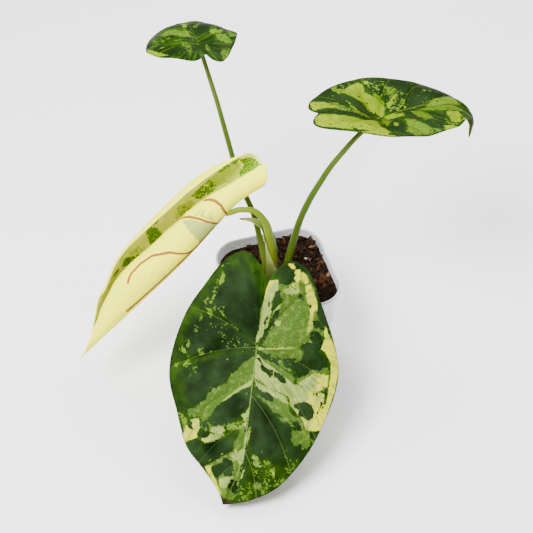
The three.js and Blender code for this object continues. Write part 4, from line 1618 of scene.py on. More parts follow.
FRONT_BLADE = Blade(
    joint=(-14.6, -68.2, 72.0), heading=-98, slope=38, roll=0, size=107,
    right=Half([(-0.43, 0.028), (-0.49, 0.073), (-0.56, 0.155), (-0.505, 0.28), (-0.3, 0.384), (-0.03, 0.5),
                (0.16, 0.535), (0.375, 0.493), (0.617, 0.404), (0.84, 0.255), (0.955, 0.09), (1.01, -0.1)],
               0.56, 1.7, [0, 0.18, 0.45, 0.63, 0.77, 0.9, 1]),
    left=Half([(-0.43, 0.028), (-0.5, -0.02), (-0.596, -0.13), (-0.53, -0.26), (-0.36, -0.376), (-0.143, -0.49),
               (0.196, -0.55), (0.47, -0.458), (0.678, -0.369), (0.829, -0.222), (0.94, -0.13), (1.01, -0.1)],
              0.5, 2.2, [0, 0.36, 0.54, 0.725, 0.84, 0.92, 1]),
    bulge=2.6, droop=[(-0.6, 0), (0, 0), (0.35, -0.1), (0.6, 0), (1.05, 0.16)],
    curl_right=[(0, -1 / 300)], curl_left=[(0, -1 / 300)], funnel=(1.5, 14),
)
RIGHT_BLADE = Blade(
    joint=(66.9, 28, 192), heading=15.7, slope=5.1, roll=5.9, size=65.2,
    right=Half([(-0.564, 0.028), (-0.65, 0.015), (-0.712, 0.13), (-0.623, 0.295), (-0.407, 0.448), (-0.1, 0.505),
                (0.143, 0.494), (0.371, 0.475), (0.58, 0.43), (0.84, 0.3), (0.965, 0.12), (1.005, 0.01),
                (1.06, -0.018), (1.14, -0.03)], 0.5, 1.9, [0, 0.2, 0.4, 0.55, 0.7, 0.84, 1]),
    left=Half([(-0.564, 0.028), (-0.662, -0.01), (-0.748, -0.15), (-0.673, -0.285), (-0.44, -0.4), (-0.2, -0.487),
               (0.161, -0.53), (0.431, -0.49), (0.696, -0.385), (0.83, -0.235), (0.92, -0.13), (1, -0.062),
               (1.06, -0.044), (1.14, -0.03)], 0.5, 1.9, [0, 0.24, 0.45, 0.6, 0.77, 0.9, 1]),
    bulge=1.5, droop=[(-0.75, -0.15), (-0.3, 0.06), (0, -0.06), (0.25, 0.14), (0.5, -0.02), (0.75, 0.25),
                      (0.84, 0.47), (0.89, 0.75), (0.93, 1.35), (1.14, 1.55)],
    curl_right=[(-0.6, -1 / 130), (-0.2, 1 / 210), (0.15, 1 / 192), (0.5, 0), (0.8, -1 / 69)],
    curl_left=[(-0.6, 1 / 330), (-0.2, 0), (0.15, -1 / 247), (0.5, -1 / 181), (0.8, -1 / 88)],
    funnel=(8.5, 19),
)
BACK_BLADE = Blade(
    joint=(-53.5, 66, 224.2), heading=109, slope=5, roll=-0.6, size=53.2,
    right=Half([(-0.348, 0.01), (-0.408, 0.072), (-0.442, 0.147), (-0.4, 0.23), (-0.222, 0.371), (-0.053, 0.522),
                (0.128, 0.609), (0.371, 0.65), (0.644, 0.5), (0.873, 0.242), (1, 0.05), (1.12, -0.05)],
               0.5, 1.9, [0, 0.2, 0.4, 0.55, 0.7, 0.84, 1]),
    left=Half([(-0.348, 0.01), (-0.5, -0.03), (-0.58, -0.13), (-0.46, -0.25), (-0.314, -0.34), (-0.123, -0.454),
               (0.17, -0.57), (0.43, -0.52), (0.62, -0.41), (0.809, -0.24), (0.97, -0.11), (1.12, -0.05)],
              0.5, 1.9, [0, 0.24, 0.45, 0.6, 0.77, 0.9, 1]),
    bulge=0.7, droop=[(-0.6, -0.02), (0, -0.02), (0.35, 0.23), (0.7, 0.54), (1.12, 1.34)],
    curl_right=[(-0.5, -1 / 57), (0, -1 / 50), (0.5, -1 / 51), (1.1, -1 / 45)],
    curl_left=[(-0.5, -1 / 61), (0, -1 / 85), (0.5, -1 / 43), (1.1, -1 / 35)],
    funnel=(4.3, 11),
)
NEW_BLADE = Blade(
    joint=(-35.6, -5.2, 135.6), heading=-156, slope=42.6, roll=-46.6, size=150.4,
    right=Half([(-0.212, 0.017), (-0.26, 0.045), (-0.28, 0.114), (-0.245, 0.19), (-0.17, 0.25), (0, 0.325),
                (0.2, 0.39), (0.4, 0.375), (0.55, 0.325), (0.65, 0.265), (0.76, 0.16), (0.86, 0.07),
                (0.93, 0.032), (1, 0)], 0.48, 2, [0, 0.3, 0.5, 0.6, 0.76, 0.88, 1]),
    left=Half([(-0.212, 0.017), (-0.24, -0.08), (-0.245, -0.17), (-0.225, -0.24), (-0.17, -0.31), (0, -0.42),
               (0.2, -0.445), (0.4, -0.43), (0.55, -0.385), (0.65, -0.325), (0.76, -0.21), (0.86, -0.09),
               (0.93, -0.04), (1, 0)], 0.52, 2, [0, 0.3, 0.5, 0.6, 0.76, 0.88, 1]),
    bulge=0.5, droop=[(-0.35, -0.35), (-0.12, -0.21), (0, 0.03), (0.45, -0.05), (1, -0.065)],
    curl_right=[(-0.32, 1 / 6.4), (-0.12, 1 / 6.4), (0.05, 1 / 9.6), (0.4, 1 / 11.9), (0.55, 1 / 12), (0.65, 1 / 10.3),
                (0.76, 1 / 7.4), (0.86, 1 / 4.4), (1, 1 / 3.8)],
    curl_left=[(-0.32, 1 / 11), (-0.12, 1 / 14), (0.05, 1 / 16.8), (0.4, 1 / 17.8), (0.55, 1 / 16), (0.65, 1 / 13),
               (0.76, 1 / 9.6), (0.86, 1 / 5.4), (1, 1 / 4)],
    funnel=(0, 10),
)

FRONT_ROUTE = Route([(-4.8, -10.4, 64.5), (-5.2, -14, 76), (-6.6, -25, 85.5), (-9.2, -41, 84.5), (-12, -56, 75.5),
                     (-14, -64.8, 69.6), (-14.6, -68.0, 71.4)], [(0, 2.6), (1, 1.8)])
RIGHT_ROUTE = Route([(3, 0.6, 64.5), (6.6, 3, 80), (16.7, 10.2, 120.2), (31.8, 16.9, 151.4), (44.9, 21.5, 170.2),
                     (55.8, 24.9, 182.7), (66.9, 28.1, 191.6)], [(0, 2.9), (1, 1.6)])
BACK_ROUTE = Route([(-8.4, 3.6, 64.5), (-10.2, 8, 82), (-17, 26, 105), (-25.6, 38, 121.5), (-32.6, 46, 146),
                    (-41.4, 56, 181), (-50.4, 64.2, 213), (-53.5, 66, 223.8)], [(0, 2.3), (1, 1.5)])
NEW_ROUTE = Route([(-4.3, -3.2, 64.5), (-4.1, -3.5, 80), (-4.7, -4, 102.5), (-6.3, -4.4, 115.4), (-9.4, -4.7, 128),
                   (-16, -5.1, 138), (-25.5, -5.4, 140), (-31.6, -5.4, 137.6), (-35.4, -5.2, 136)],
                  [(0, 3.6), (0.45, 3.3), (0.62, 2.9), (0.8, 2.1), (1, 1.9)])
SHEATH_ROWS = [(0, -72, 262), (0.14, -64, 260), (0.23, -34, 258), (0.32, 2, 252), (0.43, 38, 244), (0.52, 62, 226),
               (0.6, 84, 206)]
SHEATH_TIP = [(-14.6, -5, 127.5), (-18.6, -5, 129.6), (-22.4, -5, 130.6), (-26.6, -5, 131)]
SHEATH_TIP_WIDTH = [6.0, 4.4, 2.6, 1.1]

FRONT_MARKS = [Patch(*row) for row in [
    (DEEP, [(-49, -26), (-52, -18), (-49, -12), (-42, -5), (-31, 0), (-16, 3), (-2, 0), (-7, -9), (-15, -20),
     (-22, -32), (-23, -39), (-30, -39), (-36, -32), (-42, -28)], 1, 4),
    (DEEP, [(-18, -40), (-16, -24), (-6, -9), (0, -1), (4, -4), (7, -28), (12, -38), (9, -49), (-2, -51),
     (-12, -46)], 1, 3),
    (DEEP, [(18, -44), (10, -27), (5, -4), (8, -2), (16, -12), (23, -17), (28, -18), (36, -30), (41, -32), (46, -39),
     (38, -44), (28, -47)], 1, 3),
    (DEEP, [(28, -1), (41, 0), (47, -6), (54, -10), (57, -17), (57, -25), (49, -24), (39, -18), (34, -11)], 1, 1.5),
    (DEEP, [(30, 0), (34, 3), (40, 12), (48, 19), (57, 24), (67, 24), (74, 18), (73, 9), (70, 4), (54, 2)], 1, 2.5),
    (DEEP, [(66, -21), (65, -9), (69, -7), (72, -9), (76, -15), (81, -20), (80, -27), (74, -29), (68, -26)], 1, 3),
    (DEEP, [(61, 25), (63, 38), (72, 37), (79, 29), (76, 19), (68, 17)], 0.8, 3),
    (DEEP, [(-51, 8), (-57, 12), (-59, 18), (-58, 24), (-55, 29), (-48, 34), (-41, 37), (-33, 41), (-35, 38),
     (-46, 32), (-53, 26), (-55, 22), (-54, 16), (-51, 11)], 1, 2.5),
    (DEEP, [(21, -52), (19, -46), (26, -46), (25, -52)], 0.7, 3),
    (CREAM, [(-52, -30), (-56, -25), (-54, -25), (-49, -29)], 0.42),
    (CREAM, [(-46, -30), (-49, -27), (-42, -26), (-39, -28), (-38, -34), (-42, -32)], 0.56, 1.1),
    (CREAM, [(-37, -35), (-38, -31), (-32, -31), (-32, -34)], 0.42, 1.6),
    (CREAM, [(-32, -34), (-32, -31), (-28, -32), (-25, -34), (-26, -37), (-28, -35)], 0.56, 1.1),
    (CREAM, [(-27, -40), (-31, -38), (-28, -36), (-24, -37), (-25, -39)], 0.56, 0.9),
    (CREAM, [(-23, -38), (-22, -35), (-23, -31), (-26, -33), (-25, -30), (-21, -30), (-20, -35),
     (-22, -38)], 0.56, 0.8),
    (CREAM, [(-19, -37), (-21, -31), (-18, -33), (-15, -33), (-18, -36)], 0.56),
    (CREAM, [(-23, -30), (-24, -25), (-19, -25), (-16, -21), (-17, -24), (-20, -27)], 0.56, 0.9),
    (CREAM, [(-17, -41), (-18, -39), (-11, -39), (-13, -41)], 0.55),
    (CREAM, [(-10, -45), (-9, -41), (-4, -41), (-6, -45)], 0.42),
    (CREAM, [(-14, -18), (-10, -13), (-8, -14), (-12, -18)], 0.56, 0.8),
    (CREAM, [(-13, -35), (-14, -20), (-3, -24), (-7, -32)], 0.24, 1.5),
    (CREAM, [(0, -49), (0, -46), (5, -45), (7, -47), (5, -48)], 0.56, 0.9),
    (CREAM, [(6, -54), (4, -52), (8, -48), (8, -46), (11, -48), (9, -53)], 0.56, 0.9),
    (CREAM, [(6, -40), (6, -37), (9, -35), (11, -38), (9, -40)], 0.56, 0.9),
    (CREAM, [(6, -32), (6, -29), (9, -29), (8, -32)], 0.42),
    (CREAM, [(-8, -29), (-3, -5), (5, -4), (5, -21)], 0.24, 1.5),
    (CREAM, [(18, -50), (15, -48), (16, -42), (18, -45), (21, -46), (19, -49)], 0.56, 0.9),
    (CREAM, [(17, -56), (17, -52), (20, -53), (20, -55)], 0.56, 0.9),
    (CREAM, [(11, -48), (15, -37), (31, -40), (25, -46)], 0.24, 1.5),
    (CREAM, [(11, -20), (10, -17), (12, -17), (13, -19)], 0.36, 0.9),
    (CREAM, [(8, -10), (8, -9), (10, -9), (10, -10)], 0.42, 0.9),
    (SAGE, [(7, -1), (9, -3), (13, -8), (18, -11), (21, -14), (23, -16), (28, -17), (32, -25), (36, -29), (40, -30),
     (44, -35), (46, -36), (49, -31), (52, -26), (47, -24), (39, -18), (34, -11), (27, -1), (22, 1)]),
    (CREAM, [(21, 1), (27, -5), (32, -11), (36, -15), (41, -20), (40, -17), (35, -12), (30, -6), (28, -1)]),
    (SAGE, [(48, -41), (45, -33), (48, -29), (53, -26), (55, -30), (52, -35), (52, -41)], 0.75, 2),
    (CREAM, [(50, -49), (51, -44), (56, -40), (62, -43), (58, -45)], 0.55, 1.5),
    (CREAM, [(54, -39), (53, -33), (59, -31), (63, -33), (66, -32), (68, -37), (70, -41), (65, -43), (59, -42),
     (58, -40)], 1, 1.2),
    (DARK, [(56, -41), (55, -38), (61, -36), (61, -38), (60, -40)], 1, 0.8),
    (SAGE, [(54, -32), (54, -28), (57, -23), (61, -27), (59, -31)], 0.8, 1.5),
    (DARK, [(55, -31), (54, -27), (59, -25), (60, -29)], 0.75),
    (CREAM, [(58, -24), (56, -17), (59, -14), (62, -17), (62, -21), (61, -24)], 1, 1.2),
    (CREAM, [(55, -17), (52, -5), (53, -1), (58, -4), (59, -12)], 0.6, 1.5),
    (CREAM, [(66, -30), (62, -25), (61, -16), (61, -12), (66, -19), (69, -26), (68, -30)], 0.75, 1.2),
    (DARK, [(63, -33), (61, -28), (63, -24), (66, -26), (65, -31)], 0.9),
    (CREAM, [(48, -5), (45, -2), (42, 0), (46, 2), (49, 0), (52, -3), (50, -3)]),
    (CREAM, [(53, -4), (48, 1), (56, 2), (58, -2)], 0.7, 1.3),
    (DARK, [(69, -39), (67, -34), (68, -29), (73, -30), (76, -34), (72, -38)], 0.9),
    (CREAM, [(72, -34), (71, -33), (75, -32), (75, -33)], 1, 0.8),
    (DEEP, [(72, -40), (75, -30), (82, -23), (86, -24), (82, -31), (77, -36)], 0.8, 2),
    (SAGE, [(54, 2), (56, -4), (62, -5), (66, -8), (71, -7), (74, -10), (77, -15), (81, -20), (84, -25), (91, -20),
     (97, -16), (101, -12), (104, -10), (104, -5), (99, -1), (90, -1), (80, 0), (67, 1)], 1, 1.2),
    (CREAM, [(57, 2), (61, -1), (69, -1), (72, -4), (77, -5), (81, -2), (79, 0), (68, 1), (58, 3)], 1, 1.3),
    (CREAM, [(68, -6), (73, -9), (78, -11), (80, -6), (76, -2)], 0.7, 1.6),
    (CREAM, [(91, -15), (88, -6), (91, -3), (94, -8), (98, -10), (96, -14)], 1, 1.5),
    (CREAM, [(84, -26), (82, -20), (87, -20), (92, -17), (98, -13), (103, -10), (101, -14), (93, -20),
     (87, -24)], 0.85, 1.3),
    (DARK, [(77, -13), (77, -9), (80, -7), (84, -6), (88, -7), (89, -11), (87, -13), (89, -14), (92, -16), (89, -19),
     (85, -21), (83, -20), (82, -17), (80, -14)], 1, 0.9),
    (DARK, [(90, -5), (91, -2), (99, -1), (100, -4), (95, -9), (91, -7)], 0.85, 1.2),
    (CREAM, [(97, -15), (97, -9), (103, -5), (104, -10)], 0.55, 1.3),
    (DARK, [(36, 0), (37, 3), (50, 3), (57, 2), (59, -2), (53, -1), (47, 0)], 0.75, 0.9),
    (DARK, [(61, 0), (57, 2), (77, 2), (87, -1), (84, -2), (74, 0)], 0.55),
    (CREAM, [(-45, 4), (-46, 10), (-39, 11), (-35, 9), (-30, 7), (-25, 8), (-20, 7), (-15, 6), (-11, 6), (-6, 3),
     (-1, -1), (-6, -1), (-11, 0), (-18, 0), (-24, 0), (-29, 1), (-38, 2)]),
    (SAGE, [(-33, 15), (-34, 20), (-35, 29), (-29, 33), (-21, 33), (-11, 32), (-6, 31), (-2, 29), (0, 3), (-8, 7),
     (-15, 9), (-20, 10), (-27, 12)], 1, 1.2),
    (CREAM, [(-29, 12), (-31, 14), (-27, 13), (-24, 10), (-20, 8), (-25, 9)], 0.9, 0.8),
    (SAGE, [(-43, 11), (-44, 17), (-46, 23), (-41, 27), (-34, 26), (-33, 15), (-36, 12)], 1, 1.2),
    (CREAM, [(-39, 13), (-45, 19), (-47, 24), (-39, 26), (-36, 23), (-36, 16)], 0.7, 1.4),
    (CREAM, [(-54, 20), (-55, 24), (-48, 25), (-45, 23), (-48, 20)], 0.95, 1.2),
    (CREAM, [(-54, 24), (-53, 28), (-47, 32), (-44, 29), (-46, 25)], 0.7, 1.3),
    (SAGE, [(-47, 23), (-48, 32), (-37, 37), (-27, 33), (-36, 28), (-41, 24)], 1, 1.5),
    (CREAM, [(-44, 28), (-46, 32), (-37, 37), (-29, 39), (-24, 34), (-35, 30)], 0.85, 1.4),
    (CREAM, [(-58, 15), (-58, 19), (-55, 21), (-54, 19), (-55, 17)], 1, 0.8),
    (DARK, [(-52, 11), (-54, 14), (-54, 19), (-51, 21), (-46, 20), (-43, 17), (-43, 14), (-45, 12),
     (-49, 10)], 1, 0.9),
    (DARK, [(-38, 9), (-39, 12), (-34, 12), (-31, 10), (-30, 9), (-33, 8)], 0.95, 0.8),
    (DARK, [(-26, 7), (-29, 9), (-31, 10), (-30, 11), (-25, 9), (-24, 8)], 1, 0.7),
    (DARK, [(-25, 10), (-26, 13), (-21, 12), (-18, 9), (-20, 8)], 1, 0.7),
    (DARK, [(-18, 8), (-19, 10), (-15, 11), (-13, 10), (-16, 8)], 1, 0.7),
    (DARK, [(-22, 5), (-20, 6), (-13, 4), (-16, 3)], 0.8, 0.6),
    (DARK, [(-7, 3), (-12, 4), (-13, 6), (-9, 6), (-4, 3), (-1, 1), (-1, -1), (-4, 1)], 1, 0.7),
    (DARK, [(-31, 5), (-30, 7), (-27, 6), (-27, 5)], 0.7, 0.6),
    (CREAM, [(-18, 9), (-19, 15), (-15, 15), (-14, 12)], 0.8),
    (CREAM, [(-16, 17), (-17, 22), (-13, 23), (-12, 19)], 0.55, 1.2),
    (CREAM, [(-21, 24), (-22, 33), (-11, 34), (-8, 29)], 0.3, 1.5),
    (DARK, [(-38, 25), (-37, 29), (-34, 28), (-35, 24)], 0.8, 0.9),
    (DARK, [(-32, 31), (-32, 34), (-29, 34), (-30, 31)], 0.7, 0.9),
    (SAGE, [(-29, 33), (-28, 37), (-22, 41), (-16, 44), (-5, 43), (-4, 31), (-11, 32), (-21, 33)], 1, 1.5),
    (CREAM, [(-27, 33), (-26, 37), (-15, 37), (-7, 31), (-14, 32)], 0.7, 1.4),
    (DARK, [(-42, 35), (-37, 39), (-29, 42), (-21, 46), (-16, 46), (-19, 42), (-23, 39), (-31, 38),
     (-37, 36)], 0.6, 1.1),
    (DARK, [(-33, 38), (-31, 42), (-24, 44), (-23, 41), (-26, 38)], 0.95),
    (DARK, [(-21, 35), (-22, 40), (-18, 43), (-15, 45), (-14, 40), (-17, 36)], 0.7),
    (DARK, [(-14, 35), (-14, 40), (-11, 44), (-5, 44), (-5, 38), (-9, 35)], 0.8),
    (DARK, [(-2, 30), (-5, 32), (-6, 35), (-6, 40), (-6, 43), (-4, 44), (-1, 42), (1, 44), (4, 49), (8, 49), (12, 44),
     (12, 39), (11, 34), (8, 30), (3, 32), (1, 34)], 1, 0.9),
    (CREAM, [(-19, 45), (-14, 47), (-6, 52), (4, 56), (13, 57), (25, 56), (33, 54), (43, 52), (52, 49), (53, 44),
     (48, 47), (40, 46), (33, 51), (26, 51), (16, 52), (6, 51), (-1, 46), (-2, 43), (-9, 45), (-14, 44)], 1, 1.1),
    (SAGE, [(1, 1), (-1, 29), (1, 32), (6, 32), (12, 29), (15, 24), (12, 17), (6, 8)], 1, 1.2),
    (CREAM, [(1, 0), (-2, 24), (-1, 29), (2, 8), (3, 1)], 0.8),
    (CREAM, [(1, 14), (1, 20), (5, 19), (5, 15)], 0.42, 1.3),
    (DARK, [(4, 4), (5, 14), (8, 19), (10, 14), (8, 7)], 0.6, 1.3),
    (DARK, [(7, 18), (5, 27), (11, 30), (14, 27), (13, 23), (10, 19)], 0.7, 1.1),
    (DARK, [(8, 13), (10, 16), (13, 18), (12, 16)], 1, 0.7),
    (DARK, [(10, 19), (12, 23), (14, 23), (12, 20)], 1, 0.7),
    (DARK, [(8, 28), (7, 34), (12, 39), (17, 35), (19, 30), (15, 28)], 0.9),
    (DARK, [(17, 26), (16, 29), (18, 29), (19, 28)], 0.85, 0.7),
    (SAGE, [(8, 4), (11, 15), (17, 25), (20, 29), (24, 25), (21, 21), (17, 12), (12, 5)], 1, 1.3),
    (CREAM, [(5, 1), (10, 6), (14, 14), (19, 21), (24, 29), (29, 35), (34, 39), (40, 43), (36, 37), (32, 30),
     (36, 27), (32, 25), (30, 19), (28, 12), (24, 6), (22, 1), (10, 0)]),
    (CREAM, [(23, 1), (26, 7), (29, 16), (32, 23), (38, 27), (37, 23), (34, 16), (32, 9), (29, 3)], 0.85, 1.4),
    (DARK, [(8, 1), (8, 3), (12, 6), (13, 5)], 1, 0.6),
    (DARK, [(13, 4), (13, 6), (14, 8), (15, 11), (16, 14), (19, 13), (21, 11), (18, 9), (17, 6), (15, 4)], 0.95, 0.7),
    (DARK, [(16, 14), (17, 18), (20, 22), (23, 23), (23, 19), (20, 16), (20, 14)], 0.95, 0.7),
    (SAGE, [(18, 2), (21, 9), (25, 16), (28, 12), (26, 4)], 0.9, 1.6),
    (SAGE, [(18, 29), (11, 39), (10, 50), (18, 52), (24, 50), (27, 39), (26, 31)], 1, 1.5),
    (CREAM, [(22, 30), (13, 41), (14, 51), (23, 51), (29, 41), (28, 35)], 0.8, 1.5),
    (CREAM, [(23, 29), (27, 41), (27, 49), (38, 50), (48, 47), (53, 46), (53, 39), (48, 37), (43, 32), (38, 27),
     (33, 26)], 1, 1.3),
    (DARK, [(37, 29), (35, 33), (34, 37), (36, 41), (40, 44), (44, 43), (47, 40), (45, 37), (44, 33), (40, 33),
     (39, 30)], 0.95, 0.8),
    (CREAM, [(40, 36), (40, 39), (43, 38), (42, 36)], 0.75, 0.7),
    (DARK, [(22, 49), (24, 52), (31, 51), (40, 49), (41, 45), (34, 46), (29, 48)], 0.5, 1.3),
    (DARK, [(27, 41), (26, 45), (30, 45), (30, 42)], 0.5),
    (DARK, [(22, 38), (22, 41), (25, 42), (25, 38)], 0.4, 1.2),
    (SAGE, [(30, 7), (30, 17), (33, 24), (40, 26), (45, 30), (46, 36), (52, 38), (53, 34), (50, 27), (48, 21),
     (41, 14), (36, 8), (33, 3)], 1, 1.2),
    (DARK, [(27, 3), (30, 7), (31, 11), (34, 16), (37, 15), (36, 11), (34, 6), (30, 2)], 0.95, 0.9),
    (DARK, [(38, 9), (40, 12), (41, 12), (39, 9)], 0.9, 0.6),
    (DARK, [(44, 15), (44, 19), (46, 23), (47, 22), (46, 17)], 0.95, 0.6),
    (DARK, [(50, 20), (49, 27), (55, 30), (65, 29), (61, 24)], 0.85, 1.2),
    (DARK, [(48, 28), (47, 33), (53, 37), (55, 33)], 0.7, 1.2),
    (SAGE, [(54, 29), (54, 34), (52, 37), (52, 42), (58, 44), (64, 42), (66, 38), (62, 37), (64, 33), (60, 30),
     (58, 31)], 1, 1.2),
    (CREAM, [(53, 35), (52, 42), (59, 44), (63, 40)], 0.42, 1.3),
    (DARK, [(55, 42), (54, 46), (56, 47), (59, 45), (58, 42)], 0.9, 0.9),
    (CREAM, [(59, 45), (54, 48), (59, 46), (64, 43), (63, 42)], 0.6),
    (CREAM, [(71, 4), (73, 8), (76, 11), (81, 13), (79, 7), (75, 5)], 0.6, 1.3),
    (CREAM, [(72, 6), (74, 10), (76, 11), (74, 7)], 0.75, 0.9),
    (CREAM, [(78, 5), (79, 9), (79, 13), (81, 12), (80, 8)], 0.8, 0.9),
    (CREAM, [(74, 12), (76, 18), (81, 22), (87, 20), (85, 13), (88, 9), (83, 6)], 0.36, 1.5),
    (CREAM, [(80, 18), (82, 22), (86, 22), (85, 19)], 0.7),
    (CREAM, [(88, 9), (86, 22), (91, 26), (96, 19), (99, 8), (92, 6)], 0.3, 1.5),
    (SAGE, [(93, 8), (90, 11), (92, 14), (96, 13), (95, 9)], 0.9, 1.3),
    (CREAM, [(95, 7), (92, 10), (91, 13), (94, 11)], 0.6),
    (CREAM, [(95, -3), (91, 6), (97, 10), (103, 6), (104, -1)], 0.36, 1.3),
    (CREAM, [(88, 21), (86, 28), (86, 30), (91, 26), (93, 22)], 0.55),
    (CREAM, [(81, 26), (72, 36), (74, 38), (86, 31)], 0.3, 1.5),
    (CREAM, [(65, 26), (68, 34), (75, 31), (73, 25)], 0.24, 1.5),
    (CREAM, [(55, 18), (56, 22), (61, 22), (60, 19)], 0.3, 1.3),
    (CREAM, [(84, 0), (81, 2), (83, 2), (90, 1), (90, -1)], 0.7, 0.9),
    (CREAM, [(94, 14), (91, 19), (96, 20), (100, 14)], 0.36, 1.2),
]]

RIGHT_MARKS = [Patch(*row) for row in [
    (CREAM, [(-22, 20), (-13, 27), (-7, 30), (-3, 27), (-3, 20), (1, 16), (5, 12), (6, 7), (4, 2), (1, -1), (-1, 5),
     (-6, 5), (-7, 12), (-12, 15), (-16, 17), (-20, 20)]),
    (SAGE, [(2, 19), (6, 16), (7, 11), (6, 5), (4, 3), (4, 12), (1, 15)]),
    (SAGE, [(-26, 29), (-19, 30), (-12, 30), (-11, 27), (-19, 21), (-23, 19), (-26, 24)], 0.8, 1.2),
    (CREAM, [(-26, 29), (-19, 30), (-10, 29), (-12, 25), (-19, 21), (-23, 19), (-26, 24)], 0.5, 1.2),
    (DARK, [(-22, 30), (-15, 31), (-12, 28), (-18, 24), (-23, 25)], 0.7, 0.8),
    (DEEP, [(-41, 18), (-26, 29), (-11, 32), (-2, 32), (-10, 29), (-24, 25), (-32, 20), (-41, 14)], 0.9, 1.5),
    (DEEP, [(-38, 16), (-31, 23), (-25, 23), (-20, 18), (-17, 13), (-24, 5), (-29, 9), (-34, 12)], 1, 1.5),
    (CREAM, [(-44, 14), (-41, 14), (-35, 11), (-31, 7), (-28, 2), (-34, 3), (-39, 4), (-44, 3), (-45, 6)], 1, 0.9),
    (CREAM, [(-33, 12), (-26, 8), (-21, 4), (-11, 4), (-3, 0), (-14, -2), (-23, -2), (-30, 1)], 0.55),
    (DARK, [(-17, 16), (-14, 15), (-10, 12), (-7, 8), (-4, 4), (-2, -2), (-7, -1), (-11, 5), (-16, 8),
     (-18, 11)], 0.95, 0.8),
    (CREAM, [(-20, 13), (-16, 9), (-12, 7), (-8, 4), (-6, 1), (-13, 0), (-18, 2)], 0.65, 0.8),
    (DARK, [(-42, 3), (-35, 2), (-26, -1), (-16, -1), (-4, -2), (-17, -6), (-31, -7), (-39, -3),
     (-43, 1)], 0.85, 0.8),
    (CREAM, [(-42, 1), (-35, 1), (-27, -4), (-14, -4), (-27, -6), (-36, -2)], 0.75, 0.5),
    (CREAM, [(-46, -5), (-42, -2), (-34, -5), (-25, -8), (-15, -7), (-7, -4), (-3, -10), (-4, -21), (-3, -30),
     (-1, -34), (-12, -32), (-22, -29), (-30, -24), (-38, -20), (-45, -17), (-48, -12)], 1, 0.9),
    (DARK, [(-4, 6), (0, 3), (2, 0), (-1, -4), (-6, -4), (-7, 0)], 1, 0.8),
    (DARK, [(-29, -21), (-25, -25), (-18, -27), (-13, -25), (-20, -28), (-27, -27)], 0.85, 0.6),
    (DEEP, [(-2, 31), (6, 30), (25, 30), (44, 24), (55, 11), (43, 3), (39, 5), (35, 0), (27, -3), (16, -3), (11, 0),
     (7, 3), (7, 9), (7, 16), (2, 19), (-1, 22)], 1, 1.2),
    (CREAM, [(-2, 31), (12, 28), (18, 20), (9, 16), (1, 19)], 0.3, 1.2),
    (CREAM, [(-2, 30), (2, 29), (1, 26), (-2, 27)], 0.85, 0.7),
    (SAGE, [(10, 24), (15, 22), (18, 17), (14, 10), (10, 15)], 0.7),
    (CREAM, [(16, 16), (16, 14), (12, 10), (10, 7), (8, 5), (8, 9), (12, 13)], 0.9, 0.7),
    (CREAM, [(9, 9), (14, 11), (21, 11), (20, 5), (13, 2), (7, 3)], 0.42),
    (CREAM, [(19, 16), (21, 16), (20, 14), (19, 14)], 0.75, 0.6),
    (CREAM, [(20, 11), (21, 10), (19, 6), (19, 8)], 0.9, 0.6),
    (CREAM, [(18, 4), (19, 2), (17, 1), (17, 2)], 0.9, 0.6),
    (CREAM, [(36, 17), (39, 15), (37, 13), (35, 14)], 0.6, 0.7),
    (SAGE, [(40, 6), (44, 6), (51, 9), (54, 2), (55, 0), (48, -1), (40, -4), (34, -5), (32, -2), (36, 2)], 1, 0.9),
    (CREAM, [(41, 7), (44, 6), (51, 9), (54, 2), (55, 1), (48, -1), (40, -4), (35, -5), (34, -1), (39, 4)], 0.6, 0.9),
    (SAGE, [(25, -4), (35, -5), (43, -4), (52, -2), (53, -10), (45, -11), (38, -11), (31, -7)], 1, 0.9),
    (CREAM, [(3, -1), (9, 0), (15, -3), (14, -8), (9, -7), (4, -5)], 0.85, 0.7),
    (SAGE, [(20, -3), (28, -8), (30, -13), (31, -17), (23, -19), (20, -14)], 0.95, 0.9),
    (DEEP, [(30, -8), (36, -12), (40, -15), (38, -22), (34, -20), (31, -15)]),
    (DARK, [(16, -2), (19, -5), (21, -13), (25, -18), (19, -18), (16, -11)], 0.9, 0.7),
    (CREAM, [(41, -12), (49, -11), (51, -15), (54, -16), (46, -22), (42, -20), (41, -16)], 0.95, 0.9),
    (DARK, [(49, -12), (51, -16), (63, -1), (49, -19)], 0.6, 0.6),
    (DARK, [(39, -17), (42, -21), (45, -24), (40, -23)], 0.6, 0.6),
    (DEEP, [(4, -2), (8, -8), (10, -13), (8, -24), (5, -31), (-2, -28), (-2, -16)]),
    (CREAM, [(4, -15), (6, -18), (4, -23), (2, -22)], 1, 0.7),
    (SAGE, [(12, -13), (17, -17), (21, -22), (26, -27), (22, -32), (11, -34), (7, -30), (11, -22)], 0.8, 1.2),
    (CREAM, [(12, -13), (17, -17), (21, -22), (26, -27), (22, -32), (11, -34), (7, -30), (11, -22)], 0.55),
    (DEEP, [(20, -17), (29, -19), (35, -21), (39, -25), (34, -28), (28, -29), (25, -25)]),
    (CREAM, [(38, -17), (42, -20), (47, -23), (41, -25), (38, -22)], 0.6, 0.8),
    (CREAM, [(35, -26), (41, -25), (45, -26), (41, -28), (35, -30)], 1, 0.7),
    (DARK, [(-7, -28), (-3, -30), (3, -32), (3, -34), (-5, -32)], 0.8, 0.7),
    (CREAM, [(21, -26), (32, -28), (32, -31), (20, -33)], 0.5),
    (DARK, [(-5, -9), (-2, -17), (-1, -26), (-4, -25), (-7, -19)], 0.9, 0.7),
    (SAGE, [(1, -3), (4, -5), (3, -14), (-2, -20), (-1, -8)], 0.8),
]]

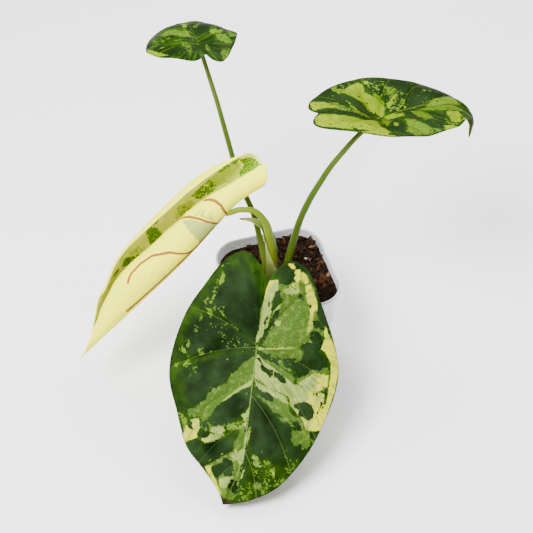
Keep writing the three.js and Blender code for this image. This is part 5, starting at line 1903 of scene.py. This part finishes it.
NEW_VEINS = [
    [(0.8, 1.6), (10.5, 2.5), (20.6, 3.2), (30.5, 3.7), (37.5, 4.3), (47.3, 5.1), (57, 5.4), (67, 5.6), (77, 6),
     (98, 6.6)],
    [(-1, 1), (-2.1, 5.3), (-4.2, 10.7), (-3.6, 15.6), (-1, 20.4), (2.2, 24.3)],
    [(5, 0), (8.1, 3.4), (9, 8.2), (11.9, 16.2), (16, 23), (24, 32.1), (26.8, 31.5)],
    [(30.5, 2.3), (33, 4.4), (36.6, 6.2), (43.7, 16.9), (55.4, 24.5), (66.1, 26.6), (75.7, 25.7), (81.6, 22.5)],
]

BACK_MARKS = [Patch(*row) for row in [
    (SAGE, [(22, 21), (26, 15), (21, 10), (13, 5), (7, 3), (9, 10), (13, 14), (15, 18)]),
    (CREAM, [(22, 21), (26, 15), (21, 10), (13, 5), (7, 3), (13, 14)], 0.35),
    (CREAM, [(30, 3), (30, 0), (19, 2), (19, 5)], 0.95, 0.7),
    (CREAM, [(17, 5), (13, 3), (6, 3), (2, 1), (5, 3), (10, 5)], 0.65, 0.7),
    (CREAM, [(19, -2), (21, -8), (15, -3), (14, -1)], 0.55, 0.7),
    (CREAM, [(9, -10), (12, -16), (8, -20), (3, -17), (4, -12)], 0.8, 0.8),
    (SAGE, [(3, -13), (2, -19), (-3, -21), (-10, -21), (-10, -16), (-5, -13), (-1, -13)], 1, 0.9),
    (CREAM, [(1, -14), (2, -19), (-3, -21), (-6, -16)], 0.5, 0.8),
    (SAGE, [(7, -22), (5, -27), (1, -28), (-2, -22)], 0.85, 0.8),
    (CREAM, [(21, 34), (11, 31), (2, 27), (-6, 23), (0, 30), (11, 34)], 1, 0.9),
    (CREAM, [(9, 27), (4, 22), (4, 25)], 0.55, 0.7),
    (CREAM, [(23, 27), (15, 19), (10, 15), (11, 24), (12, 31)], 0.34),
    (SAGE, [(3, 12), (3, 6), (-6, 6), (-15, 10), (-6, 10)], 0.6),
    (CREAM, [(-3, 9), (-3, 7), (-14, 8), (-17, 11)], 0.5, 0.8),
    (CREAM, [(10, 16), (8, 13), (6, 9), (5, 14)], 0.55, 0.7),
    (CREAM, [(0, -4), (-5, -5), (-18, -3), (-16, -1)], 0.5, 0.7),
    (CREAM, [(-18, -14), (-16, -17), (-26, -12), (-30, -9)], 0.7, 0.8),
    (SAGE, [(-20, -9), (-16, -14), (-29, -10), (-29, -8)], 0.8),
    (DEEP, [(17, 18), (14, 13), (10, 13), (14, 19)], 1, 0.8),
    (DEEP, [(1, 15), (-9, 10), (-17, 13), (-9, 20), (-2, 20)], 0.9, 1.5),
    (DEEP, [(-5, -5), (-13, -12), (-23, -11), (-20, -5)], 1, 1.2),
    (DEEP, [(24, 1), (17, -12), (8, -11), (7, 0), (15, 3)], 1, 1.2),
    (DEEP, [(6, 3), (1, -12), (-7, -9), (-13, 3), (-3, 4)], 0.9, 1.2),
]]

NEW_MARKS = [Patch(*row) for row in [
    (SAGE, [(22, 26), (17, 22), (13, 15), (10, 9), (8, 4), (16, 3), (26, 3), (25, 9), (23, 15), (23, 20)], 1, 1.2),
    (SAGE, [(14, 23), (5, 19), (3, 11), (7, 6), (10, 14)], 0.55, 1.5),
    (DARK, [(49, -50), (47, -49), (46, -41), (47, -34), (53, -34), (59, -34), (60, -37), (56, -41),
     (54, -45)], 1, 0.8),
    (DARK, [(85, -39), (80, -42), (77, -42), (74, -38), (70, -37), (67, 44), (72, 46), (76, 46),
     (83, -35)], 0.9, 0.8),
    (DARK, [(94, -38), (90, -40), (86, -41), (87, -38), (92, -36)], 0.9, 0.7),
    (DARK, [(11, -38), (4, -37), (-2, -36), (-6, -34), (-6, -31), (-5, -26), (-2, -26), (3, -27), (7, -29),
     (10, -33)], 0.7),
    (DARK, [(-4, -25), (-7, -24), (-11, -22), (-10, 23), (-7, 24)], 0.85, 0.7),
    (DARK, [(-11, -35), (-15, -35), (-21, -37), (-27, -36), (-29, -34), (-24, -31), (-19, -32),
     (-13, -32)], 0.75, 0.8),
    (DARK, [(-27, -33), (-33, -30), (-35, -24), (-36, -20), (-33, -19), (-29, -19), (-24, -20), (-20, -20),
     (-21, -24), (-26, -26)], 0.95, 1.2),
    (DARK, [(46, -58), (42, -57), (41, -48), (37, -47), (42, -45), (48, -47)], 0.75, 0.8),
    (DARK, [(26, -40), (19, -38), (19, -32), (22, -31), (28, -33)], 0.4, 1.2),
    (DARK, [(61, -35), (54, 37), (59, 44), (65, -35)], 0.5, 0.8),
    (CREAM, [(-9, -34), (-26, -34), (-22, -21), (-13, -21), (-6, -26), (-3, -36)], 1, 2),
    (CREAM, [(24, -41), (13, -36), (13, -31), (20, -31), (32, -35)], 0.9, 1.5),
    (CREAM, [(73, -48), (64, -40), (56, 38), (69, -35), (75, -41)], 0.5, 1.5),
    (CREAM, [(82, -46), (72, -56), (65, -56), (68, -47), (75, -46), (82, -43)], 0.6, 1.2),
]]


def main() -> None:
    """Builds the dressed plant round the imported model."""
    logging.basicConfig(level=logging.INFO, format="%(name)s: %(message)s")
    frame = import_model()
    Pot().build()
    Soil().build()
    for node, finish, name in (("soil", ChipFinish(), "coir_bed"), ("crown_and_roots", BARK_FINISH, "crown_bark")):
        materials = frame["nodes"][node].data.materials
        materials.clear()
        materials.append(finish.material(name, False))
    Stalk("stalk_front", "petiole_front", FRONT_ROUTE, STALK, "stalk").build()
    Stalk("stalk_right", "petiole_right", RIGHT_ROUTE, STALK, "stalk", end=0.5).build()
    Stalk("stalk_back", "petiole_back", BACK_ROUTE, STALK, "stalk").build()
    Stalk("stalk_new", "petiole_new", NEW_ROUTE, YOUNG_STALK, "young_stalk").build()
    Sheath(NEW_ROUTE, SHEATH_ROWS, SHEATH_TIP, SHEATH_TIP_WIDTH).build()
    Leaf("blade_front", "leaf_front", FRONT_BLADE, GREEN_FINISH, "blade", FRONT_MARKS, 260, 70, dry=6.0).build()
    Leaf("blade_right", "leaf_right", RIGHT_BLADE, LIME_FINISH, "blade", RIGHT_MARKS, 200, 56, dry=16.0).build()
    Leaf("blade_back", "leaf_back", BACK_BLADE, BACK_FINISH, "blade", BACK_MARKS, 130, 40).build()
    Leaf("blade_new", "leaf_new", NEW_BLADE, YOUNG_FINISH, "young_blade", NEW_MARKS, 240, 76, groove=0.1,
         veins=NEW_VEINS).build()
    Studio().build()


if __name__ == "__main__":
    main()
